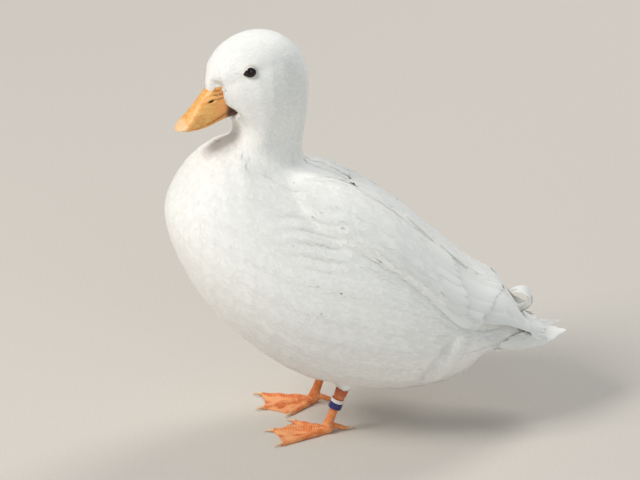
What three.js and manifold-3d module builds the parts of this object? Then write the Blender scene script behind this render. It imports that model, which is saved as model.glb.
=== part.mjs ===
// A white call duck drake standing at rest, life size.
// Millimetres. +Z is up, the bird faces -Y, its own left side is at +X, and the ground is at z = 0.
import * as THREE from "three";
import { mergeVertices } from "three/addons/utils/BufferGeometryUtils.js";
import Module from "manifold-3d";

const wasm = await Module();
wasm.setup();

// ---------- driving dimensions ----------

const GAP = 0.3; // left between neighbouring solids
const HEAD_TURN = 13; // degrees that the head is turned to the bird's left
const HEAD_AXIS_Y = -72; // the upright line that the head turns on
const BODY_SIDES = 24;
const BODY_STEPS = 24;
const HEAD_SIDES = 20;
const HEAD_STEPS = 18;

// The trunk and rump together, each row a section across the body:
// y, back line, belly line, height of the widest point, half width, roundness of the upper half
const BODY = [
  [-134, 158, 152, 155, 4, 2],
  [-132, 167, 141, 154, 18, 2],
  [-126.5, 178, 125, 151, 31, 2],
  [-116.5, 193, 105, 145, 44, 1.9],
  [-103, 204, 86, 136, 54, 1.8],
  [-86, 210, 68, 126, 62, 1.7],
  [-66, 201, 51, 115, 67.5, 1.75],
  [-42, 187.5, 36, 106, 70.5, 1.85],
  [-16, 176, 28.5, 98, 71, 1.95],
  [12, 157, 24, 88, 69.5, 2.05],
  [38, 133, 25.5, 79.5, 64.5, 2.05],
  [57, 115.5, 30.2, 72.8, 57.5, 2],
  [68, 104.5, 39.2, 69, 52, 2],
  [77, 97.5, 47.6, 65.5, 45.5, 2],
  [93, 84.8, 48.8, 59.6, 34, 2],
  [104, 69, 49.5, 56.8, 25, 2],
  [113, 59.5, 51, 55, 15, 2],
  [116, 56.5, 53.5, 55, 6, 2],
];
const RUMP_CUT = { y: 70, z: 70, tilt: -20 }; // where the trunk ends and the rump starts; degrees off upright

// The neck and head together, each row a level section:
// z, reach ahead of and behind HEAD_AXIS_Y, half width, roundness of the face, share of the turn
const HEAD = [
  [176, 22, 33, 27, 2, 0],
  [188, 22, 31, 23.5, 2, 0.1],
  [198, 21, 30, 21, 2, 0.3],
  [207, 17.8, 31.3, 21, 2, 0.5],
  [216, 15.6, 33.2, 23.2, 1.9, 0.8],
  [224, 20.8, 34.4, 26, 1.75, 1],
  [232, 30, 35.2, 28, 1.6, 1],
  [241, 36, 35.6, 28.4, 1.6, 1],
  [250, 37, 35, 27.6, 1.75, 1],
  [259, 35, 32.2, 26, 1.95, 1],
  [267, 30, 28, 23.2, 2, 1],
  [273.5, 22.5, 21, 18.2, 2, 1],
  [278.4, 12.5, 13, 11, 2, 1],
  [280.3, 3, 3.5, 3, 2, 1],
];
const NECK_CUT = { y: -64, z: 213, tilt: 82 }; // where the neck ends and the head starts

// The bill, in the head's own frame: f is the distance ahead of the head's axis.
// f, culmen, mouth edge, half width
const UPPER_BILL = [
  [17, 249, 233, 10.4],
  [25, 250, 230.4, 9.6],
  [31, 248.4, 227.2, 8.8],
  [36.5, 245, 224.4, 8.2],
  [41.5, 239.4, 222.6, 8.1],
  [46.5, 233.2, 222, 8.5],
  [51, 227.4, 222, 8.8],
  [55, 223.4, 221, 7.4],
  [57.4, 221.4, 219.8, 4.2],
  [58.4, 220.4, 219.6, 1.4],
];
// f, mouth edge, chin line, half width
const LOWER_BILL = [
  [16, 232.6, 226, 9],
  [25, 230, 224.6, 8.7],
  [31, 226.8, 222.4, 8],
  [37, 223.7, 220.2, 7.5],
  [44, 221.7, 218.9, 7.3],
  [50, 221.4, 218.6, 7],
  [54, 220.6, 218.4, 4.8],
  [55.6, 219.6, 218.4, 1.6],
];
const BILL_SIDES = 12;
const BILL_STEPS = 11;

const EYE = { f: 13.2, side: 19.3, z: 261, radius: 5.3 };

// A folded wing, each row a strip across the body's side:
// y, lower and upper edge as angles round the body's section, height over the body, thickness
const WING = [
  [-52, 57, 64, 0.9, 0.4],
  [-46, 47, 71, 1.1, 2],
  [-32, 40, 78, 1.2, 3.4],
  [-12, 36, 82, 1.2, 4.4],
  [15, 31, 84, 1.2, 4.6],
  [41, 24, 86, 1.4, 4.2],
  [63, 13, 86, 2.2, 3.6],
  [80, 17, 83, 4.6, 2.8],
  [94, 22, 77, 9, 2],
  [106, 22, 64, 9, 1.3],
  [116, 19, 35, 6, 0.8],
  [119.5, 21, 28, 5.2, 0.5],
];
const WING_RIM = 1.1; // thickness of the wing's edge
const WING_TUCK = 3; // how far the wing's inner face starts inside the body before it is trimmed
const WING_STEPS = { along: 17, across: 7 };
// Where along y the wing starts to leave the body, where it is clear, and the last body section it follows
const WING_FREE = { from: 70, by: 86, bodyEnd: 108 };
const PRIMARIES_CUT = { y: 74, z: 92, tilt: -22 };

// The fan of tail feathers: y, half width, height at the middle, thickness
const TAIL_FAN = [
  [90, 19, 55.5, 3],
  [98, 25, 55.4, 3],
  [108, 26.5, 55.6, 2.8],
  [118, 23.5, 55.8, 2.4],
  [127, 16.5, 56, 2],
  [133, 11.5, 56.2, 1.6],
  [136.8, 8, 56.2, 1.2],
];
const TAIL_DROOP = 2.2; // how much lower the fan's edges lie than its middle
const TAIL_STEPS = { along: 9, across: 6 };

// The drake's curled feathers: lean to the side in degrees, radius of the curl, end of the curl in degrees
const CURLS = [
  [-16, 7.6, 130],
  [0, 8.6, 132],
  [16, 8, 134],
];
const CURL = { y: 107.8, z: 76.6, width: 4.8, thickness: 2.6, root: -11 };
const CURL_SHAPE = { straight: 0.15, open: 0.25, taper: 0.65, steps: 11 }; // shares of the feather's length

const HIP = { x: 31, y: -7, z: 62 };
const HOCK = { x: 27.5, y: -19.5, z: 32 };
const ANKLE = { x: 26, y: -29.5, z: 5.2 };
const THIGH = [13, 12, 9.4, 6.6, 5.2]; // radii from hip to hock
const SHANK = [4.7, 4.2, 3.2, 3, 3, 3.2, 3.9]; // radii from hock to ankle
const SHANK_FLATTEN = 0.86;
const KNOB = { radius: 4.4, drop: 1.6, squash: 0.95 }; // the joint where the toes meet the shank
const FOOT_TURN = 11; // degrees that each middle toe points inwards

// The toes that the web joins: degrees off the middle toe, length to the claw, thickness at the root
const TOES = {
  inner: { spread: -34, length: 28, root: 2.9 },
  middle: { spread: 0, length: 37, root: 3.3 },
  outer: { spread: 37, length: 38, root: 3 },
};
const TOE = { joints: 3, swell: 0.1, taper: 0.5, sink: 0.72, steps: 6, sides: 8 };
const HIND_TOE = { side: -1, back: 3, rise: 5, length: 11, splay: -1.5, radii: [2.1, 2.1, 1.7, 1.2] };
const WEB = { thickness: 1, reach: 0.99, bay: 0.1 }; // bay: how deep its free edge curves in between two toes
const CLAW = { length: 5.2, root: 1.25, tip: 0.3, height: 1.65, drop: 0.28, steps: 3, sides: 6 };

// The two plastic rings on the left leg, measured along the shank up from the ankle
const LEG_RINGS = {
  leg_ring_blue: { from: 14.2, to: 18.4, colour: 0x24346e },
  leg_ring_white: { from: 18.8, to: 21.2, colour: 0xefe6e6 },
};
const RING_INSIDE = 3.8;
const RING_WALL = 0.8;
const RING_LOOSENESS = 0.2; // how far behind the shank's axis a ring hangs
const RING_SIDES = 20;

// ---------- finishes ----------

const finish = (color, roughness) => new THREE.MeshStandardMaterial({ color, roughness, metalness: 0 });
const PLUMAGE = finish(0xf6f6f1, 0.85);
const BILL_HORN = finish(0xf0ab58, 0.45);
const LEG_SKIN = finish(0xf08f4e, 0.55);
const CLAW_HORN = finish(0xe9c79a, 0.4);
const EYE_GLOSS = finish(0x1d0d16, 0.06);

// ---------- solids ----------

/** A geometry as a manifold solid, turned right side out. */
function solid(geometry) {
  const bare = geometry.clone();
  bare.deleteAttribute("normal");
  bare.deleteAttribute("uv");
  const merged = mergeVertices(bare);
  const vertProperties = Float32Array.from(merged.attributes.position.array);
  const triVerts = Uint32Array.from(merged.index.array);
  return new wasm.Manifold(new wasm.Mesh({ numProp: 3, vertProperties, triVerts }));
}

/** A named mesh of a solid. */
function mesh(name, shape, material) {
  const { vertProperties, triVerts } = shape.getMesh();
  const geometry = new THREE.BufferGeometry();
  geometry.setAttribute("position", new THREE.BufferAttribute(Float32Array.from(vertProperties), 3));
  geometry.setIndex(new THREE.BufferAttribute(Uint32Array.from(triVerts), 1));
  geometry.computeVertexNormals();
  const made = new THREE.Mesh(geometry, material);
  made.name = name;
  return made;
}

/** A closed solid through a row of rings that all have the same number of points. */
function loft(rings) {
  const size = rings[0].length;
  const middle = (ring) => ring.reduce((sum, p) => sum.add(p), new THREE.Vector3()).divideScalar(size);
  const points = [middle(rings[0]), ...rings.flat(), middle(rings.at(-1))];
  const last = points.length - 1;
  const triangles = [];
  for (let k = 0; k < size; k += 1) {
    const next = (k + 1) % size;
    triangles.push([0, 1 + next, 1 + k], [last, last - size + k, last - size + next]);
    for (let r = 0; r + 1 < rings.length; r += 1) {
      const a = 1 + r * size + k;
      const b = 1 + r * size + next;
      triangles.push([a, b, a + size], [b, b + size, a + size]);
    }
  }
  const volume = triangles.reduce((sum, [a, b, c]) => {
    const normal = new THREE.Vector3().crossVectors(points[b], points[c]);
    return sum + points[a].dot(normal);
  }, 0);
  const index = triangles.flatMap(([a, b, c]) => (volume > 0 ? [a, b, c] : [a, c, b]));
  const geometry = new THREE.BufferGeometry().setFromPoints(points);
  geometry.setIndex(index);
  return solid(geometry);
}

/** Rows of values as one smooth function of 0..1. */
function fair(rows) {
  const column = (c) => new THREE.SplineCurve(rows.map((row, r) => new THREE.Vector2(r, row[c])));
  const lines = rows[0].map((_, c) => column(c));
  return (t) => lines.map((line) => line.getPoint(t).y);
}

/** The row whose first value is `first`, found by halving. */
function rowAt(row, first) {
  let low = 0;
  let high = 1;
  for (let step = 0; step < 24; step += 1) {
    const mid = (low + high) / 2;
    if (row(mid)[0] < first) low = mid;
    else high = mid;
  }
  return row(low);
}

/** Evenly spaced values from 0 to 1. */
const steps = (count) => Array.from({ length: count + 1 }, (_, k) => k / count);

/** A point of an oval: `reach` is how far it goes along `up`, and `round` is 2 for an ellipse. */
function ovalPoint({ centre, side, up, half, ahead, behind, roundAhead = 2, roundBehind = 2 }, angle) {
  const sine = Math.sin(angle);
  const cosine = Math.cos(angle);
  const power = 2 / (sine > 0 ? roundAhead : roundBehind);
  const across = half * Math.sign(cosine) * Math.abs(cosine) ** power;
  const along = (sine > 0 ? ahead : behind) * Math.sign(sine) * Math.abs(sine) ** power;
  return centre.clone().addScaledVector(side, across).addScaledVector(up, along);
}

const ovalRing = (oval, count) =>
  Array.from({ length: count }, (_, k) => ovalPoint(oval, (2 * Math.PI * k) / count));

const SIDE = new THREE.Vector3(1, 0, 0);
const UP = new THREE.Vector3(0, 0, 1);

/** A block that fills everything on one side of a plane across the body, leaving half the gap. */
function beyond({ y, z, tilt }, sign) {
  const size = 400;
  const block = new THREE.BoxGeometry(size, size, size);
  block.translate(0, sign * (size / 2 + GAP / 2), 0);
  block.rotateX(THREE.MathUtils.degToRad(tilt));
  block.translate(0, y, z);
  return solid(block);
}

/** A round limb along a straight line, with radii spaced evenly along it. */
function limb(from, to, radii, { sides = 10, grow = 0, flatten = 1 } = {}) {
  const axis = new THREE.Vector3().subVectors(to, from);
  const up = new THREE.Vector3().crossVectors(axis, SIDE).normalize();
  const rings = radii.map((radius, k) => {
    const centre = from.clone().addScaledVector(axis, k / (radii.length - 1));
    const tall = radius + grow;
    return ovalRing({ centre, side: SIDE, up, half: tall * flatten, ahead: tall, behind: tall }, sides);
  });
  return loft(rings);
}

const mirrored = (shape) => shape.mirror([1, 0, 0]);

// ---------- trunk, rump and tail ----------

const bodyRow = fair(BODY);

/** The oval section of the body at one place along it. */
function bodyOval(row, grow = 0) {
  const [y, back, belly, widest, half, roundness] = row;
  return {
    centre: new THREE.Vector3(0, y, widest),
    side: SIDE,
    up: UP,
    half: half + grow,
    ahead: back - widest + grow,
    behind: widest - belly + grow,
    roundAhead: roundness,
  };
}

const bodySolid = (grow) =>
  loft(steps(BODY_STEPS).map((t) => ovalRing(bodyOval(bodyRow(t), grow), BODY_SIDES)));

function tailFan(grow) {
  const row = fair(TAIL_FAN);
  const rings = steps(TAIL_STEPS.along).map((t) => {
    const [y, half, height, thickness] = row(t);
    const across = steps(TAIL_STEPS.across).map((s) => 2 * s - 1);
    const skin = (s, lift) => {
      const reach = half + grow;
      return new THREE.Vector3(s * reach, y, height - TAIL_DROOP * s * s + lift);
    };
    const depth = (s) => (thickness / 2) * (1 - 0.5 * s * s) + grow;
    const over = across.map((s) => skin(s, depth(s)));
    const under = across.map((s) => skin(s, -depth(s))).reverse();
    return [...over, ...under];
  });
  return loft(rings);
}

/** One curled feather: a ribbon that leaves the rump, rolls up and over, and ends pointing forwards. */
function curledFeather([lean, radius, end]) {
  const sweep = THREE.MathUtils.degToRad(end + 90);
  const tilt = THREE.MathUtils.degToRad(lean);
  const rings = steps(CURL_SHAPE.steps).map((t) => {
    const turned = (sweep * Math.max(0, t - CURL_SHAPE.straight)) / (1 - CURL_SHAPE.straight);
    const reach = radius * (1 + CURL_SHAPE.open * t ** 3);
    const out = new THREE.Vector3(0, Math.sin(turned), -Math.cos(turned));
    const centre = out.clone().multiplyScalar(reach);
    centre.y += CURL.root * Math.max(0, 1 - t / CURL_SHAPE.straight);
    const half = (CURL.width / 2) * (1 - CURL_SHAPE.taper * t ** 3);
    const thick = (CURL.thickness / 2) * (1 - CURL_SHAPE.taper * t ** 3);
    const ring = ovalRing({ centre, side: SIDE, up: out, half, ahead: thick, behind: thick }, 6);
    return ring.map((point) => {
      point.z += radius;
      point.applyAxisAngle(new THREE.Vector3(0, 1, 0), tilt);
      return point.add(new THREE.Vector3(0, CURL.y, CURL.z - radius));
    });
  });
  return loft(rings);
}

// ---------- neck, head, bill and eyes ----------

const headRow = fair(HEAD);
const turnOf = (share) => THREE.MathUtils.degToRad(HEAD_TURN * share);
const ahead = (turn) => new THREE.Vector3(Math.sin(turn), -Math.cos(turn), 0);
const leftOf = (turn) => new THREE.Vector3(Math.cos(turn), Math.sin(turn), 0);

function headSolid(grow) {
  const rings = steps(HEAD_STEPS).map((t) => {
    const [z, front, back, half, roundness, share] = headRow(t);
    const turn = turnOf(share);
    const oval = {
      centre: new THREE.Vector3(0, HEAD_AXIS_Y, z),
      side: leftOf(turn),
      up: ahead(turn),
      half: half + grow,
      ahead: front + grow,
      behind: back + grow,
      roundAhead: roundness,
    };
    return ovalRing(oval, HEAD_SIDES);
  });
  return loft(rings);
}

/** A place in the head's own frame: f ahead of its axis, and to its left. */
function inHead(f, left, z) {
  const turn = turnOf(1);
  const place = new THREE.Vector3(0, HEAD_AXIS_Y, z);
  return place.addScaledVector(ahead(turn), f).addScaledVector(leftOf(turn), left);
}

/** One half of the bill: an arch over or under a nearly flat mouth edge. */
function billSolid(rows, peak) {
  const row = fair(rows);
  const rings = steps(BILL_STEPS).map((t) => {
    const [f, top, bottom, half] = row(t);
    const edge = peak > 0 ? bottom : top;
    const crown = peak > 0 ? top - bottom : bottom - top;
    return Array.from({ length: BILL_SIDES }, (_, k) => {
      const angle = (2 * Math.PI * k) / BILL_SIDES;
      const rise = Math.max(0, Math.sin(angle)) ** 0.8;
      const side = Math.sign(Math.cos(angle)) * Math.abs(Math.cos(angle)) ** 0.75;
      return inHead(f, side * half, edge + crown * rise);
    });
  });
  return loft(rings);
}

function eyeball(side, grow) {
  const ball = new THREE.SphereGeometry(EYE.radius + grow, 12, 8);
  const place = inHead(EYE.f, side * EYE.side, EYE.z);
  ball.translate(place.x, place.y, place.z);
  return solid(ball);
}

// ---------- wings ----------

/** A folded wing: a thin strip that lies along the body's side and rises off the rump to its tip. */
function wingSolid(grow) {
  const row = fair(WING);
  const rings = steps(WING_STEPS.along).map((t) => {
    const [y, low, high, lift, thickness] = row(t);
    const oval = bodyOval(rowAt(bodyRow, Math.min(y, WING_FREE.bodyEnd)));
    const freed = (y - WING_FREE.from) / (WING_FREE.by - WING_FREE.from);
    const tuck = WING_TUCK * (1 - THREE.MathUtils.clamp(freed, 0, 1));
    const skin = (s, offset) => {
      const angle = THREE.MathUtils.degToRad(low + (high - low) * s);
      const point = ovalPoint(oval, angle);
      const normal = new THREE.Vector3(Math.cos(angle) / oval.half, 0, Math.sin(angle) / oval.ahead);
      point.addScaledVector(normal.normalize(), offset);
      point.y = y;
      return point;
    };
    const across = steps(WING_STEPS.across);
    const outer = across.map((s) => skin(s, lift + thickness * Math.sin(Math.PI * s) ** 0.6 + grow));
    const inner = across.map((s) => skin(s, lift - WING_RIM - tuck - grow)).reverse();
    return [...outer, ...inner];
  });
  return loft(rings);
}

// ---------- legs and feet ----------

const place = ({ x, y, z }) => new THREE.Vector3(x, y, z);
const hip = place(HIP);
const hock = place(HOCK);
const ankle = place(ANKLE);

const thighSolid = (grow) => limb(hip, hock, THIGH, { sides: 12, grow });

/** Direction of a toe on the ground, for a foot on the bird's left. */
function toeDirection(spread) {
  const angle = THREE.MathUtils.degToRad(spread - FOOT_TURN);
  return new THREE.Vector3(Math.sin(angle), -Math.cos(angle), 0);
}

const soleOf = () => new THREE.Vector3(ANKLE.x, ANKLE.y, 0);
const toeTip = ({ spread, length }) => soleOf().addScaledVector(toeDirection(spread), length);

/** One front toe: thick at each joint, lying on the ground. */
function toeSolid(toe) {
  const direction = toeDirection(toe.spread);
  const side = new THREE.Vector3(-direction.y, direction.x, 0);
  const rings = steps(TOE.steps).map((t) => {
    const swell = TOE.swell * Math.cos(2 * Math.PI * TOE.joints * t);
    const radius = toe.root * (1 - TOE.taper * t) * (1 + swell);
    const centre = soleOf().addScaledVector(direction, toe.length * t);
    centre.z = radius * TOE.sink;
    return ovalRing({ centre, side, up: UP, half: radius, ahead: radius, behind: radius }, TOE.sides);
  });
  return loft(rings);
}

/** The web between the three front toes, its free edges curved back. */
function webSolid() {
  const tips = [TOES.inner, TOES.middle, TOES.outer].map((toe) => {
    return soleOf().addScaledVector(toeDirection(toe.spread), toe.length * WEB.reach);
  });
  const outline = new THREE.Shape();
  outline.moveTo(ANKLE.x, ANKLE.y);
  outline.lineTo(tips[0].x, tips[0].y);
  for (const [from, to] of [[tips[0], tips[1]], [tips[1], tips[2]]]) {
    const bay = new THREE.Vector3().addVectors(from, to).divideScalar(2).lerp(soleOf(), WEB.bay);
    outline.quadraticCurveTo(bay.x, bay.y, to.x, to.y);
  }
  outline.closePath();
  const options = { depth: WEB.thickness, bevelEnabled: false, curveSegments: 4 };
  return solid(new THREE.ExtrudeGeometry(outline, options));
}

/** The small toe behind the foot, which comes down to the ground at its tip. */
function hindToe() {
  const { side, back, rise, length, splay, radii } = HIND_TOE;
  const root = new THREE.Vector3(ANKLE.x + side, ANKLE.y + back, rise);
  const tip = root.clone().add(new THREE.Vector3(splay, length, 1 - rise));
  return { root, tip, shape: limb(root, tip, radii, { sides: TOE.sides }) };
}

/** All below the ground plane. */
function ground() {
  const block = new THREE.BoxGeometry(400, 400, 40);
  block.translate(0, 0, -20);
  return solid(block);
}

function footSolid() {
  const toes = Object.values(TOES).map(toeSolid);
  const knob = new THREE.SphereGeometry(KNOB.radius, 10, 6);
  knob.scale(1, 1, KNOB.squash);
  knob.translate(ANKLE.x, ANKLE.y, ANKLE.z - KNOB.drop);
  const pieces = [...toes, hindToe().shape, solid(knob)];
  return pieces.reduce((sum, shape) => sum.add(shape), webSolid()).subtract(ground());
}

/** A short claw that goes on from a toe and bends down a little. */
function clawSolid(root, direction) {
  const side = new THREE.Vector3(-direction.y, direction.x, 0);
  const rings = steps(CLAW.steps).map((t) => {
    const centre = root.clone().addScaledVector(direction, GAP + CLAW.length * t);
    centre.z = CLAW.height - CLAW.drop * t * t;
    const radius = CLAW.root + (CLAW.tip - CLAW.root) * t;
    return ovalRing({ centre, side, up: UP, half: radius, ahead: radius, behind: radius }, CLAW.sides);
  });
  return loft(rings);
}

function claws() {
  const made = Object.entries(TOES).map(([name, toe]) => {
    return [name, clawSolid(toeTip(toe), toeDirection(toe.spread))];
  });
  const { root, tip } = hindToe();
  const backwards = tip.clone().sub(root).setZ(0).normalize();
  const start = tip.clone().addScaledVector(backwards, HIND_TOE.radii.at(-1) / 2);
  return [...made, ["hind", clawSolid(start, backwards)]];
}

/** A plastic band round the shank, resting against its back. */
function ringMesh(name, { from, to, colour }) {
  const profile = [
    new THREE.Vector2(RING_INSIDE, from),
    new THREE.Vector2(RING_INSIDE + RING_WALL, from),
    new THREE.Vector2(RING_INSIDE + RING_WALL, to),
    new THREE.Vector2(RING_INSIDE, to),
    new THREE.Vector2(RING_INSIDE, from),
  ];
  const band = new THREE.LatheGeometry(profile, RING_SIDES);
  const shaft = new THREE.Vector3().subVectors(hock, ankle).normalize();
  const turn = new THREE.Quaternion().setFromUnitVectors(new THREE.Vector3(0, 1, 0), shaft);
  band.applyQuaternion(turn);
  band.translate(ankle.x, ankle.y - RING_LOOSENESS, ankle.z);
  return mesh(name, solid(band), finish(colour, 0.35));
}

// ---------- the whole bird ----------

const group = new THREE.Group();

const body = bodySolid(0);
const bodyRoom = bodySolid(GAP);
const fan = tailFan(0);
const fanRoom = tailFan(GAP);
const curls = CURLS.map(curledFeather).reduce((sum, shape) => sum.add(shape));
const thighRooms = thighSolid(GAP).add(mirrored(thighSolid(GAP)));

const hollowedBody = body.subtract(fanRoom).subtract(thighRooms);
const trunk = hollowedBody.intersect(beyond(RUMP_CUT, -1));
const rump = hollowedBody.intersect(beyond(RUMP_CUT, 1));

const headAndNeck = headSolid(0);
const headRoom = headSolid(GAP);
const eyeRooms = eyeball(1, GAP).add(eyeball(-1, GAP));
const neck = headAndNeck.intersect(beyond(NECK_CUT, -1)).subtract(bodyRoom);
const head = headAndNeck.intersect(beyond(NECK_CUT, 1)).subtract(eyeRooms);

group.add(
  mesh("trunk", trunk, PLUMAGE),
  mesh("rump", rump, PLUMAGE),
  mesh("tail_feathers", fan, PLUMAGE),
  mesh("tail_curls", curls.subtract(bodyRoom).subtract(fanRoom), PLUMAGE),
  mesh("neck", neck, PLUMAGE),
  mesh("head", head, PLUMAGE),
  mesh("bill_upper", billSolid(UPPER_BILL, 1).subtract(headRoom), BILL_HORN),
  mesh("bill_lower", billSolid(LOWER_BILL, -1).subtract(headRoom), BILL_HORN),
);

const wing = wingSolid(0).subtract(bodyRoom).subtract(fanRoom);
const leftSide = {
  wing: [wing.intersect(beyond(PRIMARIES_CUT, -1)), PLUMAGE],
  primaries: [wing.intersect(beyond(PRIMARIES_CUT, 1)), PLUMAGE],
  thigh: [thighSolid(0), PLUMAGE],
};

const foot = footSolid();
const shankSolid = (grow) => limb(hock, ankle, SHANK, { flatten: SHANK_FLATTEN, grow });
leftSide.shank = [shankSolid(0).subtract(thighSolid(GAP)), LEG_SKIN];
leftSide.foot = [foot.subtract(shankSolid(GAP)), LEG_SKIN];
for (const [toe, claw] of claws()) {
  leftSide[`claw_${toe}`] = [claw, CLAW_HORN];
}

for (const [name, [shape, material]] of Object.entries(leftSide)) {
  group.add(mesh(`${name}_left`, shape, material), mesh(`${name}_right`, mirrored(shape), material));
}
group.add(mesh("eye_left", eyeball(1, 0), EYE_GLOSS), mesh("eye_right", eyeball(-1, 0), EYE_GLOSS));
for (const [name, band] of Object.entries(LEG_RINGS)) {
  group.add(ringMesh(name, band));
}

// The origin is on the ground, under the middle of the bird.
const extent = new THREE.Box3().setFromObject(group);
group.position.y = -extent.getCenter(new THREE.Vector3()).y;

export default group;
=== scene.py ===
import itertools
import math

import bpy
import numpy as np
from mathutils import Matrix, Vector
from mathutils.bvhtree import BVHTree


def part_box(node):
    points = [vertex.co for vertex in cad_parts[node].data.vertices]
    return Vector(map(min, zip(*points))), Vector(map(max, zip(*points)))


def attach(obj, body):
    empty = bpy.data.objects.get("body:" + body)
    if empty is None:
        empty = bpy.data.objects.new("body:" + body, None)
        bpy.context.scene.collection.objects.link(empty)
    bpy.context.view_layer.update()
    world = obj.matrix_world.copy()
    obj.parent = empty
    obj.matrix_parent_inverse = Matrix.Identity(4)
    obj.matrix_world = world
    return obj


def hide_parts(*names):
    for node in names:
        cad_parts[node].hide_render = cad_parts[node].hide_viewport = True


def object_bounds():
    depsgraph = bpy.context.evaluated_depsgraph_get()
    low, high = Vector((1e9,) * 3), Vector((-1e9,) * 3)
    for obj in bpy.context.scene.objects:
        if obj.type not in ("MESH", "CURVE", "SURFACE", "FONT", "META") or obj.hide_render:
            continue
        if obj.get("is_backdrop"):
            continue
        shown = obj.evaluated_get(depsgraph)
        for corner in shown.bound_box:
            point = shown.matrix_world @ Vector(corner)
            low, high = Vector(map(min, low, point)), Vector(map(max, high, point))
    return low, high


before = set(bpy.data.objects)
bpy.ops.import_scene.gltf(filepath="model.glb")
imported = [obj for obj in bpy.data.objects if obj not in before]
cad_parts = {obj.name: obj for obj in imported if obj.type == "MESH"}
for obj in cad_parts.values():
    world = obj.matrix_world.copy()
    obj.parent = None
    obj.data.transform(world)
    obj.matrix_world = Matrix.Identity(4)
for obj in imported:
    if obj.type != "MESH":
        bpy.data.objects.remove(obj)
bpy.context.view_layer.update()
MM = 0.001
rng = np.random.default_rng(20)

# ---------- camera ----------
# A long lens, three and a half metres off the bird's left side and a little in front of it. It looks down
# on the bird, which stands a little right of the picture's middle.

VIEW_TURN = math.radians(80)
VIEW_TILT = math.radians(22)
VIEW_DISTANCE = 3.5
VIEW_LENS = 293.8
AIM_OFF = (29.5 * MM, 2.3 * MM)  # how far left of the bird's middle and below it the camera looks
bird_middle = Vector((0, -1.4 * MM, 130 * MM))
view_right = Vector((math.cos(VIEW_TURN), math.sin(VIEW_TURN), 0))
view_back = Vector((
    math.sin(VIEW_TURN) * math.cos(VIEW_TILT),
    -math.cos(VIEW_TURN) * math.cos(VIEW_TILT),
    math.sin(VIEW_TILT),
))
view_up = view_back.cross(view_right)
aim = bird_middle - view_right * AIM_OFF[0] - view_up * AIM_OFF[1]
camera = bpy.data.objects.new("camera", bpy.data.cameras.new("camera"))
camera.data.lens = VIEW_LENS
camera.location = aim + view_back * VIEW_DISTANCE
camera.rotation_euler = view_back.to_track_quat("Z", "Y").to_euler()
bpy.context.scene.collection.objects.link(camera)
bpy.context.scene.camera = camera

# ---------- studio ----------
# A pale floor that runs out of sight, and three large soft lamps: a warm one high in front of the bird's
# breast, a cool weak one towards its flank, and one behind it for the edge of the back.

bpy.context.scene.view_settings.view_transform = "Standard"
world = bpy.data.worlds.new("studio")
bpy.context.scene.world = world
world.use_nodes = True
world.node_tree.nodes["Background"].inputs["Color"].default_value = (0.80, 0.86, 0.90, 1)
world.node_tree.nodes["Background"].inputs["Strength"].default_value = 0.42


def soft_lamp(name, place, size, power, colour):
    """A square lamp that faces the middle of the bird."""
    lamp = bpy.data.lights.new(name, "AREA")
    lamp.size = size
    lamp.energy = power
    lamp.color = colour
    holder = bpy.data.objects.new(name, lamp)
    holder.location = place
    holder.rotation_euler = (Vector(place) - bird_middle).to_track_quat("Z", "Y").to_euler()
    bpy.context.scene.collection.objects.link(holder)


soft_lamp("breast_lamp", (0.55, -1.9, 1.9), size=0.9, power=46, colour=(1.0, 0.965, 0.91))
soft_lamp("flank_lamp", (2.4, 0.5, 1.0), size=1.6, power=11, colour=(0.83, 0.95, 1.0))
soft_lamp("back_lamp", (-1.4, 1.2, 1.9), size=0.9, power=24, colour=(1.0, 0.97, 0.93))


class Wire:
    """A socket of a material's nodes. Arithmetic on it adds Math nodes."""

    def __init__(self, tree, socket):
        self.tree = tree
        self.socket = socket

    def node(self, kind, settings=None, inputs=None, output=0):
        """Adds any node: its settings are set first, then its sockets get values or wires."""
        made = self.tree.nodes.new(kind)
        for key, value in (settings or {}).items():
            setattr(made, key, value)
        for key, value in (inputs or {}).items():
            if isinstance(value, Wire):
                self.tree.links.new(value.socket, made.inputs[key])
            else:
                made.inputs[key].default_value = value
        return Wire(self.tree, made.outputs[output])

    def maths(self, operation, *values):
        return self.node("ShaderNodeMath", {"operation": operation}, dict(enumerate(values)))

    def mix(self, low, high):
        """A colour between two others, with this wire as the share of the second."""
        inputs = {"Factor": self, 6: low, 7: high}
        return self.node("ShaderNodeMix", {"data_type": "RGBA", "clamp_factor": True}, inputs, 2)

    def over(self, low, high):
        """0 where this wire is below low, 1 above high, smooth between."""
        inputs = {"Value": self, "From Min": low, "From Max": high}
        return self.node("ShaderNodeMapRange", {"interpolation_type": "SMOOTHSTEP"}, inputs)

    def noise(self, scale, detail, place=None):
        """Fine blotches, from 0 to 1, fixed to the model unless they are given a place."""
        place = place or self.node("ShaderNodeTexCoord", output=3)
        return self.node("ShaderNodeTexNoise", inputs={"Vector": place, "Scale": scale, "Detail": detail})

    def noted(self, name):
        """A number kept for each point of the piece."""
        return self.node("ShaderNodeAttribute", {"attribute_name": name}, output=2)

    def bump(self, strength, distance):
        """The surface's way out, tipped as if this wire were its height."""
        inputs = {"Height": self, "Strength": strength, "Distance": distance}
        return self.node("ShaderNodeBump", inputs=inputs)


def sums(operation, swapped):
    """A method that joins two wires, or a wire and a number, with a Math node."""
    if swapped:
        return lambda self, other: self.maths(operation, other, self)
    return lambda self, other: self.maths(operation, self, other)


for sign, operation in (("add", "ADD"), ("sub", "SUBTRACT"), ("mul", "MULTIPLY"), ("pow", "POWER")):
    setattr(Wire, f"__{sign}__", sums(operation, False))
    setattr(Wire, f"__r{sign}__", sums(operation, True))


def rgb(red, green, blue):
    """A colour, as the shader wants it."""
    def linear(value):
        return value / 12.92 if value <= 0.04045 else ((value + 0.055) / 1.055) ** 2.4
    return (linear(red), linear(green), linear(blue), 1)


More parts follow.
